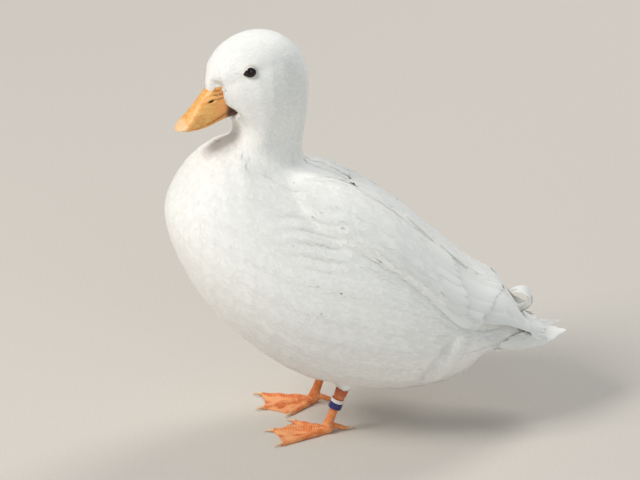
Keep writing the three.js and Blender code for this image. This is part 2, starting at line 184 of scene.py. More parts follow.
def finish_of(name, **constants):
    """A new material, a wire to start from, and a function that links wires to the shader's sockets."""
    material = bpy.data.materials.new(name)
    material.use_nodes = True
    tree = material.node_tree
    shader = tree.nodes["Principled BSDF"]
    for key, value in constants.items():
        shader.inputs[key.replace("_", " ")].default_value = value

    def link(**wires):
        for key, wire in wires.items():
            tree.links.new(wire.socket, shader.inputs[key.replace("_", " ")])

    return material, Wire(tree, None), link


def deselect():
    for obj in bpy.context.selected_objects:
        obj.select_set(False)


def dress(obj, material):
    """Gives a piece its finish and fixes it to the model."""
    obj.data.materials.clear()
    obj.data.materials.append(material)
    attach(obj, "root")


deselect()
bpy.ops.mesh.primitive_plane_add(size=24, location=(0, 0, 0))
floor = bpy.context.object
floor.name = "floor"
floor_paint, paint, link = finish_of("floor_paint", Roughness=0.9, Specular_IOR_Level=0.2)
grain = paint.noise(900.0, 3.0)
link(Base_Color=grain.over(0.3, 0.7).mix(rgb(0.80, 0.775, 0.745), rgb(0.83, 0.805, 0.775)))
floor.data.materials.append(floor_paint)
floor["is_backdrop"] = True

# ---------- skin ----------
# The bird's skin lies under all of its feathers, from the bill's base to the heels. It is one closed surface
# over the flesh of the trunk, neck, head, thighs and folded wings, nearest the feathers' tips on the face.

SKIN_NODES = ["trunk", "rump", "neck", "head", "wing_left", "wing_right", "thigh_left", "thigh_right"]
SKIN_GRAIN = 1.35 * MM
SIDES = (("left", 1), ("right", -1))
HEAD_TURN = math.radians(13)
eyes = {side: sum(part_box("eye_" + side), Vector()) / 2 for side in ("left", "right")}
eye_radius = (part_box("eye_left")[1].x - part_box("eye_left")[0].x) / 2
head_ahead = Vector((math.sin(HEAD_TURN), -math.cos(HEAD_TURN), 0))
head_left = Vector((math.cos(HEAD_TURN), math.sin(HEAD_TURN), 0))
EYE_AHEAD = 13.2 * MM
head_axis = (eyes["left"] + eyes["right"]) / 2 - head_ahead * EYE_AHEAD
head_axis.z = 0
AXIS, AHEAD, LEFT = np.array(head_axis), np.array(head_ahead), np.array(head_left)


def share_of_turn(points):
    """How much of the head's turn each place has: none at the neck's root, all from the throat up."""
    rise = np.clip((points[:, 2] - 186 * MM) / (38 * MM), 0, 1)
    near = np.clip((75 * MM - np.hypot(points[:, 0], points[:, 1] - head_axis.y)) / (20 * MM), 0, 1)
    return rise * rise * (3 - 2 * rise) * near


def turned(points, centre, angles):
    """Points turned about an upright line, each by its own angle."""
    offset = points - centre
    cosine, sine = np.cos(angles), np.sin(angles)
    x = offset[:, 0] * cosine - offset[:, 1] * sine
    y = offset[:, 0] * sine + offset[:, 1] * cosine
    return np.stack([x, y, offset[:, 2]], 1) + centre


def straightened(points):
    """The places as they would be if the bird looked straight ahead, with the left and right sides alike."""
    plain = turned(points, AXIS, -HEAD_TURN * share_of_turn(points))
    plain[:, 0] = np.abs(plain[:, 0])
    return plain / MM


def numbers_of(parts, kind, width=3, sort=float):
    """One kind of value of all a mesh's points, edges, corners or triangles, a row for each."""
    values = np.empty(len(parts) * width, sort)
    parts.foreach_get(kind, values)
    return values.reshape(-1, width)


def coordinates(mesh):
    return numbers_of(mesh.vertices, "co")


def normals_of(mesh):
    return numbers_of(mesh.vertices, "normal")


def reshape(mesh, points):
    mesh.vertices.foreach_set("co", np.ascontiguousarray(points, float).ravel())
    mesh.update()


def select_only(obj):
    deselect()
    obj.select_set(True)
    bpy.context.view_layer.objects.active = obj


def apply_modifier(obj, kind, **settings):
    bpy.context.view_layer.objects.active = obj
    modifier = obj.modifiers.new(kind.lower(), kind)
    for key, value in settings.items():
        setattr(modifier, key, value)
    bpy.ops.object.modifier_apply(modifier=modifier.name)


def edit_all(*steps):
    """Takes edit-mode steps on every point of the active piece."""
    bpy.ops.object.mode_set(mode="EDIT")
    bpy.ops.mesh.select_all(action="SELECT")
    for step, settings in steps:
        step(**settings)
    bpy.ops.object.mode_set(mode="OBJECT")


def cast_of(name, nodes, grain, smoothing):
    """One smooth closed surface over copies of some of the solids."""
    deselect()
    copies = []
    for node in nodes:
        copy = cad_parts[node].copy()
        copy.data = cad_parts[node].data.copy()
        for key in list(copy.keys()):
            del copy[key]
        copy.parent = None
        copy.hide_viewport = copy.hide_render = False
        bpy.context.scene.collection.objects.link(copy)
        copy.hide_set(False)
        copy.select_set(True)
        copies.append(copy)
    bpy.context.view_layer.objects.active = copies[0]
    bpy.ops.object.join()
    cast = bpy.context.object
    cast.name = name
    edit_all((bpy.ops.mesh.remove_doubles, {"threshold": 1e-6}))
    apply_modifier(cast, "REMESH", mode="VOXEL", voxel_size=grain, use_smooth_shade=True)
    apply_modifier(cast, "SMOOTH", factor=0.5, iterations=smoothing)
    deselect()
    return cast


def smoothstep(values, low, high):
    share = np.clip((values - low) / (high - low), 0, 1)
    return share * share * (3 - 2 * share)


def away(plain, x, y, z):
    """Distance in millimetres from a place on the straightened bird."""
    return np.linalg.norm(plain - np.array([x, y, z]), axis=1)


BILL_ROOT = (0, -104, 240)
EYE_PLACE = (22.5, -86.5, 261)
HEEL_PLACE = (27.5, -20.5, 31)


def coat_depth(points, on_body=0.7, on_neck=0.55):
    """How far the feathers' tips stand off the skin, in metres: least round the bill, eyes and heels."""
    plain = straightened(points)
    on_head = smoothstep(plain[:, 2], 196, 222)
    depth = on_body + (on_neck - on_body) * on_head
    depth = np.minimum(depth, 0.5 + 0.04 * np.maximum(0, away(plain, *BILL_ROOT) - 13))
    depth = np.minimum(depth, 0.45 + 0.07 * np.maximum(0, away(plain, *EYE_PLACE) - 5))
    depth = np.minimum(depth, 0.6 + 0.09 * np.maximum(0, away(plain, *HEEL_PLACE) - 5))
    return depth * MM


skin = cast_of("skin", SKIN_NODES + ["eye_left", "eye_right"], SKIN_GRAIN, smoothing=9)
points = coordinates(skin.data)
points -= normals_of(skin.data) * coat_depth(points)[:, None]

# The face is flat beside the bill, so that the bill's sides show back to the gape.
offset = points - AXIS
ahead = offset @ AHEAD / MM
aside = np.abs(offset @ LEFT) / MM
height = points[:, 2] / MM
FEATHER_LINE = (  # heights, and how far ahead of the head's axis the feathers reach there
    [221, 224, 227, 231, 234.5, 237, 240, 246, 256],
    [20, 21, 19, 16.5, 20.5, 25.6, 26.8, 27.2, 27.4],
)
face_limit = np.interp(height, *FEATHER_LINE) + 0.12 * np.maximum(0, aside - 9) ** 1.5
past_peak = 2 * smoothstep(height, 240, 246)
beside_bill = smoothstep(aside, 2.5 + past_peak, 6.5 + past_peak)
beside_bill *= smoothstep(height, 217, 223) * (1 - smoothstep(height, 250, 254.5))
pull = np.maximum(0, ahead - face_limit) * beside_bill * (ahead > 12)
points -= AHEAD * (pull * MM)[:, None]

# A shallow furrow runs from the bill's upper corner to the eye and on behind it, over a full cheek.
furrow_height = np.interp(ahead, [-8, 4, 13, 20, 29], [263, 262, 258.5, 256, 250])
furrow = np.exp(-(((height - furrow_height) / 4.0) ** 2)) * smoothstep(ahead, -12, 6)
cheek = np.exp(-(((height - 245) / 7.0) ** 2) - ((ahead - 10) / 13.0) ** 2)
on_side = smoothstep(aside, 6, 13) * (height > 225) * np.sign(offset @ LEFT)
points += LEFT * (on_side * (0.9 * cheek - 0.9 * furrow) * MM)[:, None]

# Each eye lies in a socket, sunk in behind the lids. The feathers beside it lie on the face as it was before.
face_points = points.copy()
SOCKET = {"radius": 4.6 * MM, "depth": 4.2 * MM}
for side, sign in SIDES:
    outward = LEFT * sign
    middle = np.array(eyes[side]) + outward * eye_radius
    distance = np.linalg.norm(points - middle, axis=1)
    sunk = 1 - smoothstep(distance, 0.55 * SOCKET["radius"], 1.25 * SOCKET["radius"])
    points -= outward * (sunk * SOCKET["depth"])[:, None]
reshape(skin.data, points)
apply_modifier(skin, "SMOOTH", factor=0.4, iterations=2)

select_only(skin)
edit_all(
    (bpy.ops.mesh.normals_make_consistent, {"inside": False}),
    (bpy.ops.uv.smart_project, {"angle_limit": math.radians(66), "island_margin": 0.004}),
)
skin.data.uv_layers[0].name = "OFBake"
deselect()

skin_down, paint, link = finish_of("skin_down", Roughness=0.95, Specular_IOR_Level=0.15, Sheen_Weight=0.2)
down = paint.noise(700.0, 4.0)
link(
    Base_Color=down.over(0.3, 0.7).mix(rgb(0.93, 0.92, 0.90), rgb(0.97, 0.965, 0.95)),
    Normal=down.bump(strength=0.5, distance=0.0006),
)
dress(skin, skin_down)
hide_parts(*SKIN_NODES)

# ---------- eyes ----------
# Each eye is a wet ball, almost black, with a dark brown iris round a wide pupil. The clear front stands out
# a little from the ball, as a cornea does.

EYE_FORWARD = math.radians(17)
EYE_UPWARD = math.radians(8)
CORNEA_RISE = 0.45 * MM
PUPIL_EDGE = (19.0, 22.0)  # degrees off the eye's axis
IRIS_EDGE = (37.0, 43.0)


def eye_axis(sign):
    """The way an eye looks: outwards, a little forward and up."""
    level = head_left * sign * math.cos(EYE_FORWARD) + head_ahead * math.sin(EYE_FORWARD)
    return (level * math.cos(EYE_UPWARD) + Vector((0, 0, math.sin(EYE_UPWARD)))).normalized()


def turn_to(axis, up=Vector((0, 0, 1))):
    """A matrix whose Z runs along an axis, and whose Y is as upright as it can be."""
    across = up.cross(axis).normalized()
    return Matrix((across, axis.cross(across), axis)).transposed().to_4x4()


def note(obj, **notes):
    """Keeps numbers for each point of a piece, for its finish to read."""
    for name, values in notes.items():
        obj.data.attributes.new(name, "FLOAT", "POINT")
        obj.data.attributes[name].data.foreach_set("value", np.asarray(values, np.float32))


for side, sign in SIDES:
    deselect()
    bpy.ops.mesh.primitive_uv_sphere_add(segments=48, ring_count=32, radius=eye_radius)
    ball = bpy.context.object
    ball.name = "eyeball_" + side
    shape = coordinates(ball.data)
    outwards = shape[:, 2] / eye_radius
    shape[:, 2] += CORNEA_RISE * smoothstep(outwards, 0.62, 1.0)
    reshape(ball.data, shape)
    note(ball, from_pupil=np.degrees(np.arctan2(np.hypot(shape[:, 0], shape[:, 1]), shape[:, 2])))
    ball.data.transform(Matrix.Translation(eyes[side]) @ turn_to(eye_axis(sign)))
    ball.data.shade_smooth()
    eye_gloss, paint, link = finish_of(
        "eye_gloss_" + side, Roughness=0.06, Coat_Weight=0.35, Coat_Roughness=0.02, IOR=1.33,
    )
    off_pupil = paint.noted("from_pupil")
    streaks = paint.noise(2600.0, 2.0)
    iris = streaks.over(0.35, 0.65).mix(rgb(0.10, 0.045, 0.05), rgb(0.19, 0.09, 0.08))
    dark = off_pupil.over(*PUPIL_EDGE).mix(rgb(0.015, 0.01, 0.015), iris)
    link(Base_Color=off_pupil.over(*IRIS_EDGE).mix(dark, rgb(0.09, 0.045, 0.05)))
    dress(ball, eye_gloss)
    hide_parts("eye_" + side)

# ---------- eyelids ----------
# A thin bare rim of pale skin round each eye, almond shaped, with its point forward and down. It lies on the
# ball and runs back under the face feathers.

LID = {"wide": 3.95 * MM, "high": 3.35 * MM, "rim": 0.18 * MM, "corner": 1.1 * MM, "skirt": 1.8 * MM}
LID_SAG = 0.35 * MM
LID_POINT = math.radians(206)  # where round the eye the almond's front point is, for the left eye


def near_angle(angle, place, width):
    return math.exp(-((math.remainder(angle - place, math.tau)) / width) ** 2)


def almond(angle, grow=0.0):
    """The eye opening's edge, as distances across and up from its middle."""
    stretch = 1 + 0.3 * near_angle(angle, LID_POINT, 0.34) - 0.17 * near_angle(angle, LID_POINT - 1.1, 0.5)
    return (LID["wide"] * stretch + grow) * math.cos(angle), (LID["high"] * stretch + grow) * math.sin(angle)


for side, sign in SIDES:
    deselect()
    bpy.ops.mesh.primitive_torus_add(major_segments=96, minor_segments=16, major_radius=1.0, minor_radius=0.1)
    lid = bpy.context.object
    lid.name = "eyelids_" + side
    shape = coordinates(lid.data)
    wet = []
    for index, (x, y, z) in enumerate(shape):
        angle = math.atan2(y, x)
        outward = (math.hypot(x, y) - 1) / 0.1
        raised = z / 0.1
        corner = near_angle(angle, LID_POINT, 0.4)
        inner = LID["rim"] + LID["corner"] * corner
        grow = outward * (LID["skirt"] if outward > 0 else inner)
        across, upward = almond(angle, grow)
        radius = math.hypot(across, upward)
        ball_height = math.sqrt(max((2.3 * MM) ** 2, (eye_radius + 0.2 * MM) ** 2 - radius ** 2))
        sag = LID_SAG * max(0.0, outward)
        shape[index] = (across, upward, ball_height + (0.24 - 0.1 * corner) * MM * raised - sag)
        wet.append(1.0 if outward < -0.05 else 0.0)
    if sign < 0:
        shape[:, 0] *= -1
    reshape(lid.data, shape)
    lid.data.transform(Matrix.Translation(eyes[side]) @ turn_to(eye_axis(sign)))
    if sign < 0:
        lid.data.flip_normals()
    lid.data.shade_smooth()
    note(lid, wet=wet)
    lid_skin, paint, link = finish_of("lid_skin_" + side, Roughness=0.45)
    folds = paint.noise(1800.0, 2.0)
    pale = folds.over(0.35, 0.65).mix(rgb(0.80, 0.77, 0.74), rgb(0.92, 0.90, 0.87))
    link(
        Base_Color=paint.noted("wet").mix(pale, rgb(0.10, 0.05, 0.06)),
        Normal=folds.bump(strength=0.4, distance=0.0003),
    )
    dress(lid, lid_skin)

# ---------- bill ----------
# Two halves of smooth orange-yellow horn. The upper one slopes down from a high culmen to a broad tip with a
# paler nail, with folds of skin at its root and a slit nostril on each side. The lower one shuts inside it.

# ahead of the head's axis, culmen, mouth edge, half width, fullness of the arch
UPPER_BILL = [
    (17, 250.4, 233.2, 11.6, 1.5), (21, 251.2, 231.9, 11.2, 1.5), (25, 251.2, 230.4, 10.1, 1.35),
    (31, 248.6, 227.2, 8.9, 1.0), (36.5, 245, 224.4, 8.2, 0.95), (41.5, 239.4, 222.6, 8.1, 0.9),
    (46.5, 233.2, 222, 8.5, 0.8), (51, 227.4, 221.9, 8.7, 0.72), (55, 223.5, 220.9, 7.3, 0.7),
    (57.4, 221.6, 219.8, 4.3, 0.7), (58.4, 220.6, 219.7, 1.5, 0.7),
]
# ahead of the head's axis, mouth edge, chin line, half width
LOWER_BILL = [
    (16, 232.8, 226.2, 10.2), (21, 231.6, 225.6, 9.9), (25, 230.0, 224.8, 9.3), (31, 226.8, 222.6, 8.2),
    (37, 223.7, 220.4, 7.4), (44, 221.9, 219.0, 7.2), (50, 221.5, 218.6, 7.0), (54, 220.7, 218.5, 4.9),
    (55.8, 219.9, 218.7, 1.6),
]
NOSTRIL = {"ahead": 35.4, "height": 238.6, "long": 2.3, "wide": 0.85, "slant": 0.2, "depth": 1.5}
NAIL = {"from": 51.5, "half": 3.1, "raise": 0.35}
FOLDS = {"apart": 2.9, "deep": 0.55, "deep_on_top": 0.45}  # in the skin at the upper half's root


def fair(rows, count):
    """Rows of values run through by smooth curves, at a number of even steps."""
    rows = np.array(rows, float)
    place = np.linspace(0, len(rows) - 1, count)
    start = np.clip(place.astype(int), 0, len(rows) - 2)
    share = (place - start)[:, None]
    before, low = rows[np.maximum(start - 1, 0)], rows[start]
    high, after = rows[start + 1], rows[np.minimum(start + 2, len(rows) - 1)]
    bend = 2 * before - 5 * low + 4 * high - after
    twist = 3 * low - before - 3 * high + after
    return low + 0.5 * share * ((high - before) + share * (bend + share * twist))


def lofted(name, rings):
    """A closed piece through a row of rings with like numbers of points."""
    count, around = rings.shape[:2]
    ends = [rings[0].mean(0), rings[-1].mean(0)]
    verts = np.concatenate([rings.reshape(-1, 3), ends])
    faces = []
    for ring in range(count - 1):
        for step in range(around):
            a = ring * around + step
            b = ring * around + (step + 1) % around
            faces.append((a, b, b + around, a + around))
    first, last = count * around, count * around + 1
    for step in range(around):
        faces.append((first, (step + 1) % around, step))
        top = (count - 1) * around
        faces.append((last, top + step, top + (step + 1) % around))
    mesh = bpy.data.meshes.new(name)
    mesh.from_pydata(verts.tolist(), [], faces)
    obj = bpy.data.objects.new(name, mesh)
    bpy.context.scene.collection.objects.link(obj)
    select_only(obj)
    edit_all((bpy.ops.mesh.normals_make_consistent, {"inside": False}))
    mesh.shade_smooth()
    deselect()
    return obj


def from_head(shape):
    """Points given as millimetres ahead, left and up, in the model's own frame."""
    along = np.outer(shape[:, 0], head_ahead) + np.outer(shape[:, 1], head_left)
    return AXIS + (along + np.outer(shape[:, 2], (0, 0, 1))) * MM


def bill_rings(rows, stations, around, upper):
    """The bill's half as rings of points ahead, left and up, in millimetres."""
    angle = np.linspace(0, math.tau, around, endpoint=False)
    sine, cosine = np.sin(angle), np.cos(angle)
    rings = []
    for row in fair(rows, stations):
        side = np.sign(cosine) * np.abs(cosine) ** 0.72 * row[3]
        if upper:
            arch = np.where(sine > 0, np.abs(sine) ** (1 / (row[4] + 0.35)), 0.10 * np.abs(sine))
            rise = row[2] + (row[1] - row[2]) * arch
        else:
            keel = 1 - 0.16 * np.exp(-((side / 2.2) ** 2))
            under = row[1] + (row[2] - row[1]) * np.abs(sine) ** 0.8 * keel
            rise = np.where(sine > 0, row[1] - 0.3 * sine, under)
        rings.append(np.stack([np.full(around, row[0]), side, rise], 1))
    return np.array(rings)


def bill_notes(obj, rings, pit, folds):
    """Where the gape's dark skin, the nail, the root, the nostrils' painted shade and the folds' painted
    shade are.
    """
    shape = np.concatenate([rings.reshape(-1, 3), [rings[0].mean(0), rings[-1].mean(0)]])
    gape = (1 - smoothstep(shape[:, 0], 23.4, 27.6)) * (1 - smoothstep(shape[:, 2], 235.5, 239))
    note(
        obj, gape=gape, nail=smoothstep(shape[:, 0], NAIL["from"], NAIL["from"] + 2.2),
        root=1 - smoothstep(shape[:, 0], 26, 37),
        nostril=np.concatenate([pit, [0, 0]]), fold=np.concatenate([folds, [0, 0]]),
    )


rings = bill_rings(UPPER_BILL, stations=110, around=224, upper=True)
shape = rings.reshape(-1, 3)
aside = np.abs(shape[:, 1])
over_ahead = shape[:, 0] - NOSTRIL["ahead"]
over_height = shape[:, 2] - NOSTRIL["height"] + NOSTRIL["slant"] * over_ahead
off_nostril = np.hypot(over_ahead / NOSTRIL["long"], over_height / NOSTRIL["wide"])
on_side = smoothstep(aside, 1.5, 3)
inward = NOSTRIL["depth"] * (1 - smoothstep(off_nostril, 0.35, 1.1)) * on_side
rim = 0.35 * np.exp(-(((off_nostril - 1.6) / 0.5) ** 2)) * on_side
corner = np.exp(-(((aside - 7.2) / 2.5) ** 2)) * smoothstep(shape[:, 2], 239, 245)
shape[:, 2] += 7.6 * corner * (1 - smoothstep(shape[:, 0], 29.5, 38))
fold_place = 0.12 * shape[:, 0] + 0.95 * shape[:, 2] + 0.4 * np.sin(shape[:, 0] / 2.2)
folds = (0.5 + 0.5 * np.cos(math.tau * fold_place / FOLDS["apart"])) ** 3
folds *= (1 - smoothstep(shape[:, 0], 32, 37)) * smoothstep(shape[:, 2], 237, 241)
folds *= smoothstep(aside, 0.5, 2.5)
side_hollow = 0.45 * smoothstep(shape[:, 0], 37, 42) * (1 - smoothstep(shape[:, 0], 47, 52))
side_hollow *= np.exp(-(((aside - 5.2) / 1.6) ** 2))
shape[:, 1] -= np.sign(shape[:, 1]) * (inward - rim + FOLDS["deep"] * folds + side_hollow)
shape[:, 2] -= FOLDS["deep_on_top"] * folds * smoothstep(shape[:, 2], 243, 248)
nail_edge = np.hypot(np.maximum(0, NAIL["from"] + 2.4 - shape[:, 0]) / 2.4, aside / NAIL["half"])
mouth_edge = np.interp(shape[:, 0], [row[0] for row in UPPER_BILL], [row[2] for row in UPPER_BILL])
on_nail = (shape[:, 2] > mouth_edge + 0.2) * (shape[:, 0] > NAIL["from"] - 1)
shape[:, 2] += NAIL["raise"] * (1 - smoothstep(nail_edge, 0.75, 1.05)) * on_nail
upper_bill = lofted("upper_bill", from_head(shape).reshape(rings.shape))
pit = (1 - smoothstep(off_nostril, 0.5, 1.15)) * smoothstep(np.abs(shape[:, 1]), 1.5, 2.5)
bill_notes(upper_bill, rings, pit, folds)
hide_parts("bill_upper")

rings = bill_rings(LOWER_BILL, stations=80, around=72, upper=False)
shape = rings.reshape(-1, 3)
lower_bill = lofted("lower_bill", from_head(shape).reshape(rings.shape))
bill_notes(lower_bill, rings, np.zeros(len(shape)), np.zeros(len(shape)))
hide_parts("bill_lower")

bill_horn, paint, link = finish_of(
    "bill_horn", Roughness=0.4, Subsurface_Weight=0.12, Subsurface_Scale=0.002, Specular_IOR_Level=0.45,
)
place = paint.node("ShaderNodeTexCoord", output=3)
stretched = paint.node("ShaderNodeMapping", inputs={
    "Vector": place, "Rotation": (0.62, 0.0, HEAD_TURN), "Scale": (1.0, 0.22, 1.0),
})
streaks, mottle = paint.noise(900.0, 4.0, stretched), paint.noise(230.0, 3.0, place)
gape = paint.noted("gape")
horn = (streaks * 0.5 + mottle * 0.5).over(0.36, 0.64).mix(rgb(0.91, 0.62, 0.30), rgb(0.97, 0.76, 0.46))
horn = (paint.noted("root") * 0.6).mix(horn, rgb(0.90, 0.60, 0.36))
# The grooves of the folds at the bill's root are painted dark brown: painted shade in the creases.
horn = (paint.noted("fold") * 0.8).mix(horn, rgb(0.48, 0.25, 0.09))
horn = (paint.noted("nail") * 0.85).mix(horn, rgb(0.97, 0.80, 0.62))
horn = (gape + mottle * gape * 0.4 - 0.1).mix(horn, rgb(0.36, 0.20, 0.10))
# The nostril pits are painted dark brown: painted shade inside the openings.
horn = paint.noted("nostril").mix(horn, rgb(0.22, 0.10, 0.05))
link(Base_Color=horn, Roughness=0.34 + streaks * 0.18, Normal=streaks.bump(strength=0.25, distance=0.0004))
for half in (upper_bill, lower_bill):
    dress(half, bill_horn)

# ---------- legs and webbed feet ----------
# Orange scaled skin over the shank and the toes, in plates across the front of the shank and the top of each
# toe, with wrinkled webs between the three front toes. Each foot stands flat on the ground.

LEG_GRAIN = 0.5 * MM
FOOT_TURN = 11
ANKLE = np.array([26, -30.9, 5.2])
HEEL = np.array([27.5, -20.9, 32])
TOES = [(-34, 28, 2.9), (0, 37, 3.3), (37, 38, 3.0)]  # degrees off the middle toe, length, root thickness
PLATE = 1.75  # length of one plate
PLATE_GROOVE = 0.16 * MM
WEB_FOLD = 0.75  # how high the webs are wrinkled
WEB_RISE = 0.35 * MM
SOLE_HEIGHT = 0.02 * MM

leg_skin, paint, link = finish_of(
    "leg_skin", Roughness=0.5, Subsurface_Weight=0.1, Subsurface_Scale=0.002, Specular_IOR_Level=0.4,
)
place = paint.node("ShaderNodeTexCoord", output=3)
pebble_inputs = {"Vector": place, "Scale": 950.0}
pebbles = paint.node("ShaderNodeTexVoronoi", {"feature": "DISTANCE_TO_EDGE"}, pebble_inputs)
mottle, fine = paint.noise(210.0, 5.0, place), paint.noise(1500.0, 2.0, place)
plates, on_plate = paint.noted("plate"), paint.noted("on_plate")
seam = paint.maths("COSINE", plates * (math.tau / PLATE))
seam = (0.5 + 0.5 * seam) ** 8.0
skin_tone = mottle.over(0.34, 0.66).mix(rgb(0.90, 0.49, 0.25), rgb(0.98, 0.67, 0.43))
# The webs are painted paler: a painted highlight of light falling on their flat tops.
skin_tone = (paint.noted("web") * 0.7).mix(skin_tone, rgb(0.99, 0.72, 0.50))
# The valleys of the web's wrinkles are painted darker orange: painted shade in the folds.
skin_tone = (paint.noted("valley") * 0.8).mix(skin_tone, rgb(0.85, 0.40, 0.17))
skin_tone = (seam * on_plate * 0.55).mix(skin_tone, rgb(0.62, 0.27, 0.12))
# Towards the heel the skin is painted darker and redder: painted shade under the belly feathers.
skin_tone = (paint.noted("heel") * 0.8).mix(skin_tone, rgb(0.70, 0.33, 0.22))
pebbled = pebbles.over(0.0, 0.12)
relief = pebbled * (1 - on_plate) * 0.6 + (1 - seam) * on_plate + fine * 0.25
link(
    Base_Color=(pebbled * 0.3 + 0.7).mix(rgb(0.66, 0.30, 0.14), skin_tone),
    Roughness=0.42 + fine * 0.25,
    Normal=relief.bump(strength=0.55, distance=0.0004),
)

for side, sign in SIDES:
    leg = cast_of("leg_" + side, ["shank_" + side, "foot_" + side], LEG_GRAIN, smoothing=5)
    points = coordinates(leg.data)
    normals = normals_of(leg.data)
    plain = points / MM * [sign, 1, 1]
    from_ankle = plain[:, :2] - ANKLE[:2]
    reach = np.hypot(from_ankle[:, 0], from_ankle[:, 1])
    along_plate = np.zeros(len(plain))
    on_plate = np.zeros(len(plain))
    in_web = smoothstep(reach, 5, 11) * (plain[:, 1] < ANKLE[1]) * (plain[:, 2] < 4)
    fold_angle = np.degrees(np.arctan2(from_ankle[:, 0], -from_ankle[:, 1])) + FOOT_TURN
    for spread, length, root in TOES:
        turn = math.radians(spread - FOOT_TURN)
        direction = np.array([math.sin(turn), -math.cos(turn)])
        along = from_ankle @ direction
        off = np.abs(from_ankle @ np.array([-direction[1], direction[0]]))
        width = root * (1 - 0.5 * np.clip(along / length, 0, 1))
        toe = (1 - smoothstep(off, 0.75 * width, 1.15 * width)) * (along > 3) * (plain[:, 2] < 8)
        along_plate = np.where(toe > on_plate, along, along_plate)
        on_plate = np.maximum(on_plate, toe * smoothstep(normals[:, 2], 0.1, 0.5))
        in_web *= 1 - toe
    shaft = (HEEL - ANKLE) / np.linalg.norm(HEEL - ANKLE)
    up_shank = (plain - ANKLE) @ shaft
    shank = smoothstep(up_shank, 1, 4) * smoothstep(-normals[:, 1], 0.0, 0.5)
    along_plate = np.where(shank > 0, up_shank, along_plate)
    on_plate = np.maximum(on_plate, shank)
    groove = (0.5 + 0.5 * np.cos(math.tau * along_plate / PLATE)) ** 6
    points -= normals * (PLATE_GROOVE * groove * on_plate)[:, None]
    top = smoothstep(normals[:, 2], 0.2, 0.6)
    ripple = np.sin(np.radians(fold_angle) * 16 + 0.5 * np.sin(reach / 4)) * 0.6
    ripple += 0.4 * np.sin(reach / 2.1 + np.radians(fold_angle) * 5)
    points[:, 2] += WEB_FOLD * MM * ripple * in_web * top * smoothstep(reach, 8, 20)
    points[:, 2] += WEB_RISE * in_web * top
    points[:, 2] = np.maximum(points[:, 2], SOLE_HEIGHT)
    reshape(leg.data, points)
    note(
        leg, plate=along_plate, on_plate=on_plate, web=in_web,
        valley=smoothstep(-ripple, 0.15, 0.9) * in_web * top, heel=smoothstep(up_shank, 19, 27),
    )
    dress(leg, leg_skin)
    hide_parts("shank_" + side, "foot_" + side)

# ---------- claws ----------
# A short blunt claw of pale horn at the end of every toe, curved a little down to the ground. Its root is
# sunk in the toe's scaled skin.

CLAW = {"root": 1.3, "tip": 0.25, "sink": 1.2, "height": 1.75, "droop": 0.9, "thinness": 0.8}

claw_horn, paint, link = finish_of("claw_horn", Roughness=0.35, Coat_Weight=0.2, Coat_Roughness=0.3)
grain = paint.noise(1200.0, 3.0)
link(
    Base_Color=grain.over(0.3, 0.7).mix(rgb(0.80, 0.62, 0.45), rgb(0.93, 0.80, 0.66)),
    Normal=grain.bump(strength=0.2, distance=0.0002),
)

for side, sign in SIDES:
    for toe in ("inner", "middle", "outer", "hind"):
        node = f"claw_{toe}_{side}"
        low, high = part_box(node)
        middle = (low + high) / 2
        ankle_spot = Vector((ANKLE[0] * sign, ANKLE[1], 0)) * MM
        outwards = (Vector((middle.x, middle.y, 0)) - ankle_spot).normalized()
        reach = (high - low).xy.length * 0.93
        start = Vector((middle.x, middle.y, 0)) - outwards * (reach / 2 + CLAW["sink"] * MM)
        rings = []
        for step in np.linspace(0, 1, 12):
            spot = start + outwards * (reach + CLAW["sink"] * MM) * step
            radius = (CLAW["root"] + (CLAW["tip"] - CLAW["root"]) * step ** 1.3) * MM
            spot.z = (CLAW["height"] - CLAW["droop"] * step ** 2.2) * MM
            across = Vector((-outwards.y, outwards.x, 0))
            rings.append([
                spot + across * math.cos(angle) * radius * CLAW["thinness"]
                + Vector((0, 0, math.sin(angle) * radius))
                for angle in np.linspace(0, math.tau, 20, endpoint=False)
            ])
        claw = lofted(f"horn_{toe}_{side}", np.array(rings))
        dress(claw, claw_horn)
        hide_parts(node)

# ---------- leg rings ----------
# Two plain plastic bands on the left shank, a narrow white one above a wider dark blue one. Each is slipped
# over the foot and hangs loose on the leg.

# piece, node, lower and upper end along the shank, colours, slot
LEG_RINGS = [
    ("blue_band", "leg_ring_blue", 14.2, 18.4, (0.10, 0.12, 0.36), (0.16, 0.18, 0.46), "blue_plastic"),
    ("white_band", "leg_ring_white", 18.8, 21.2, (0.86, 0.82, 0.82), (0.94, 0.91, 0.90), "white_plastic"),
]
RING_INSIDE = 3.85 * MM
RING_WALL = 0.75 * MM
RING_ROUNDING = 0.25 * MM

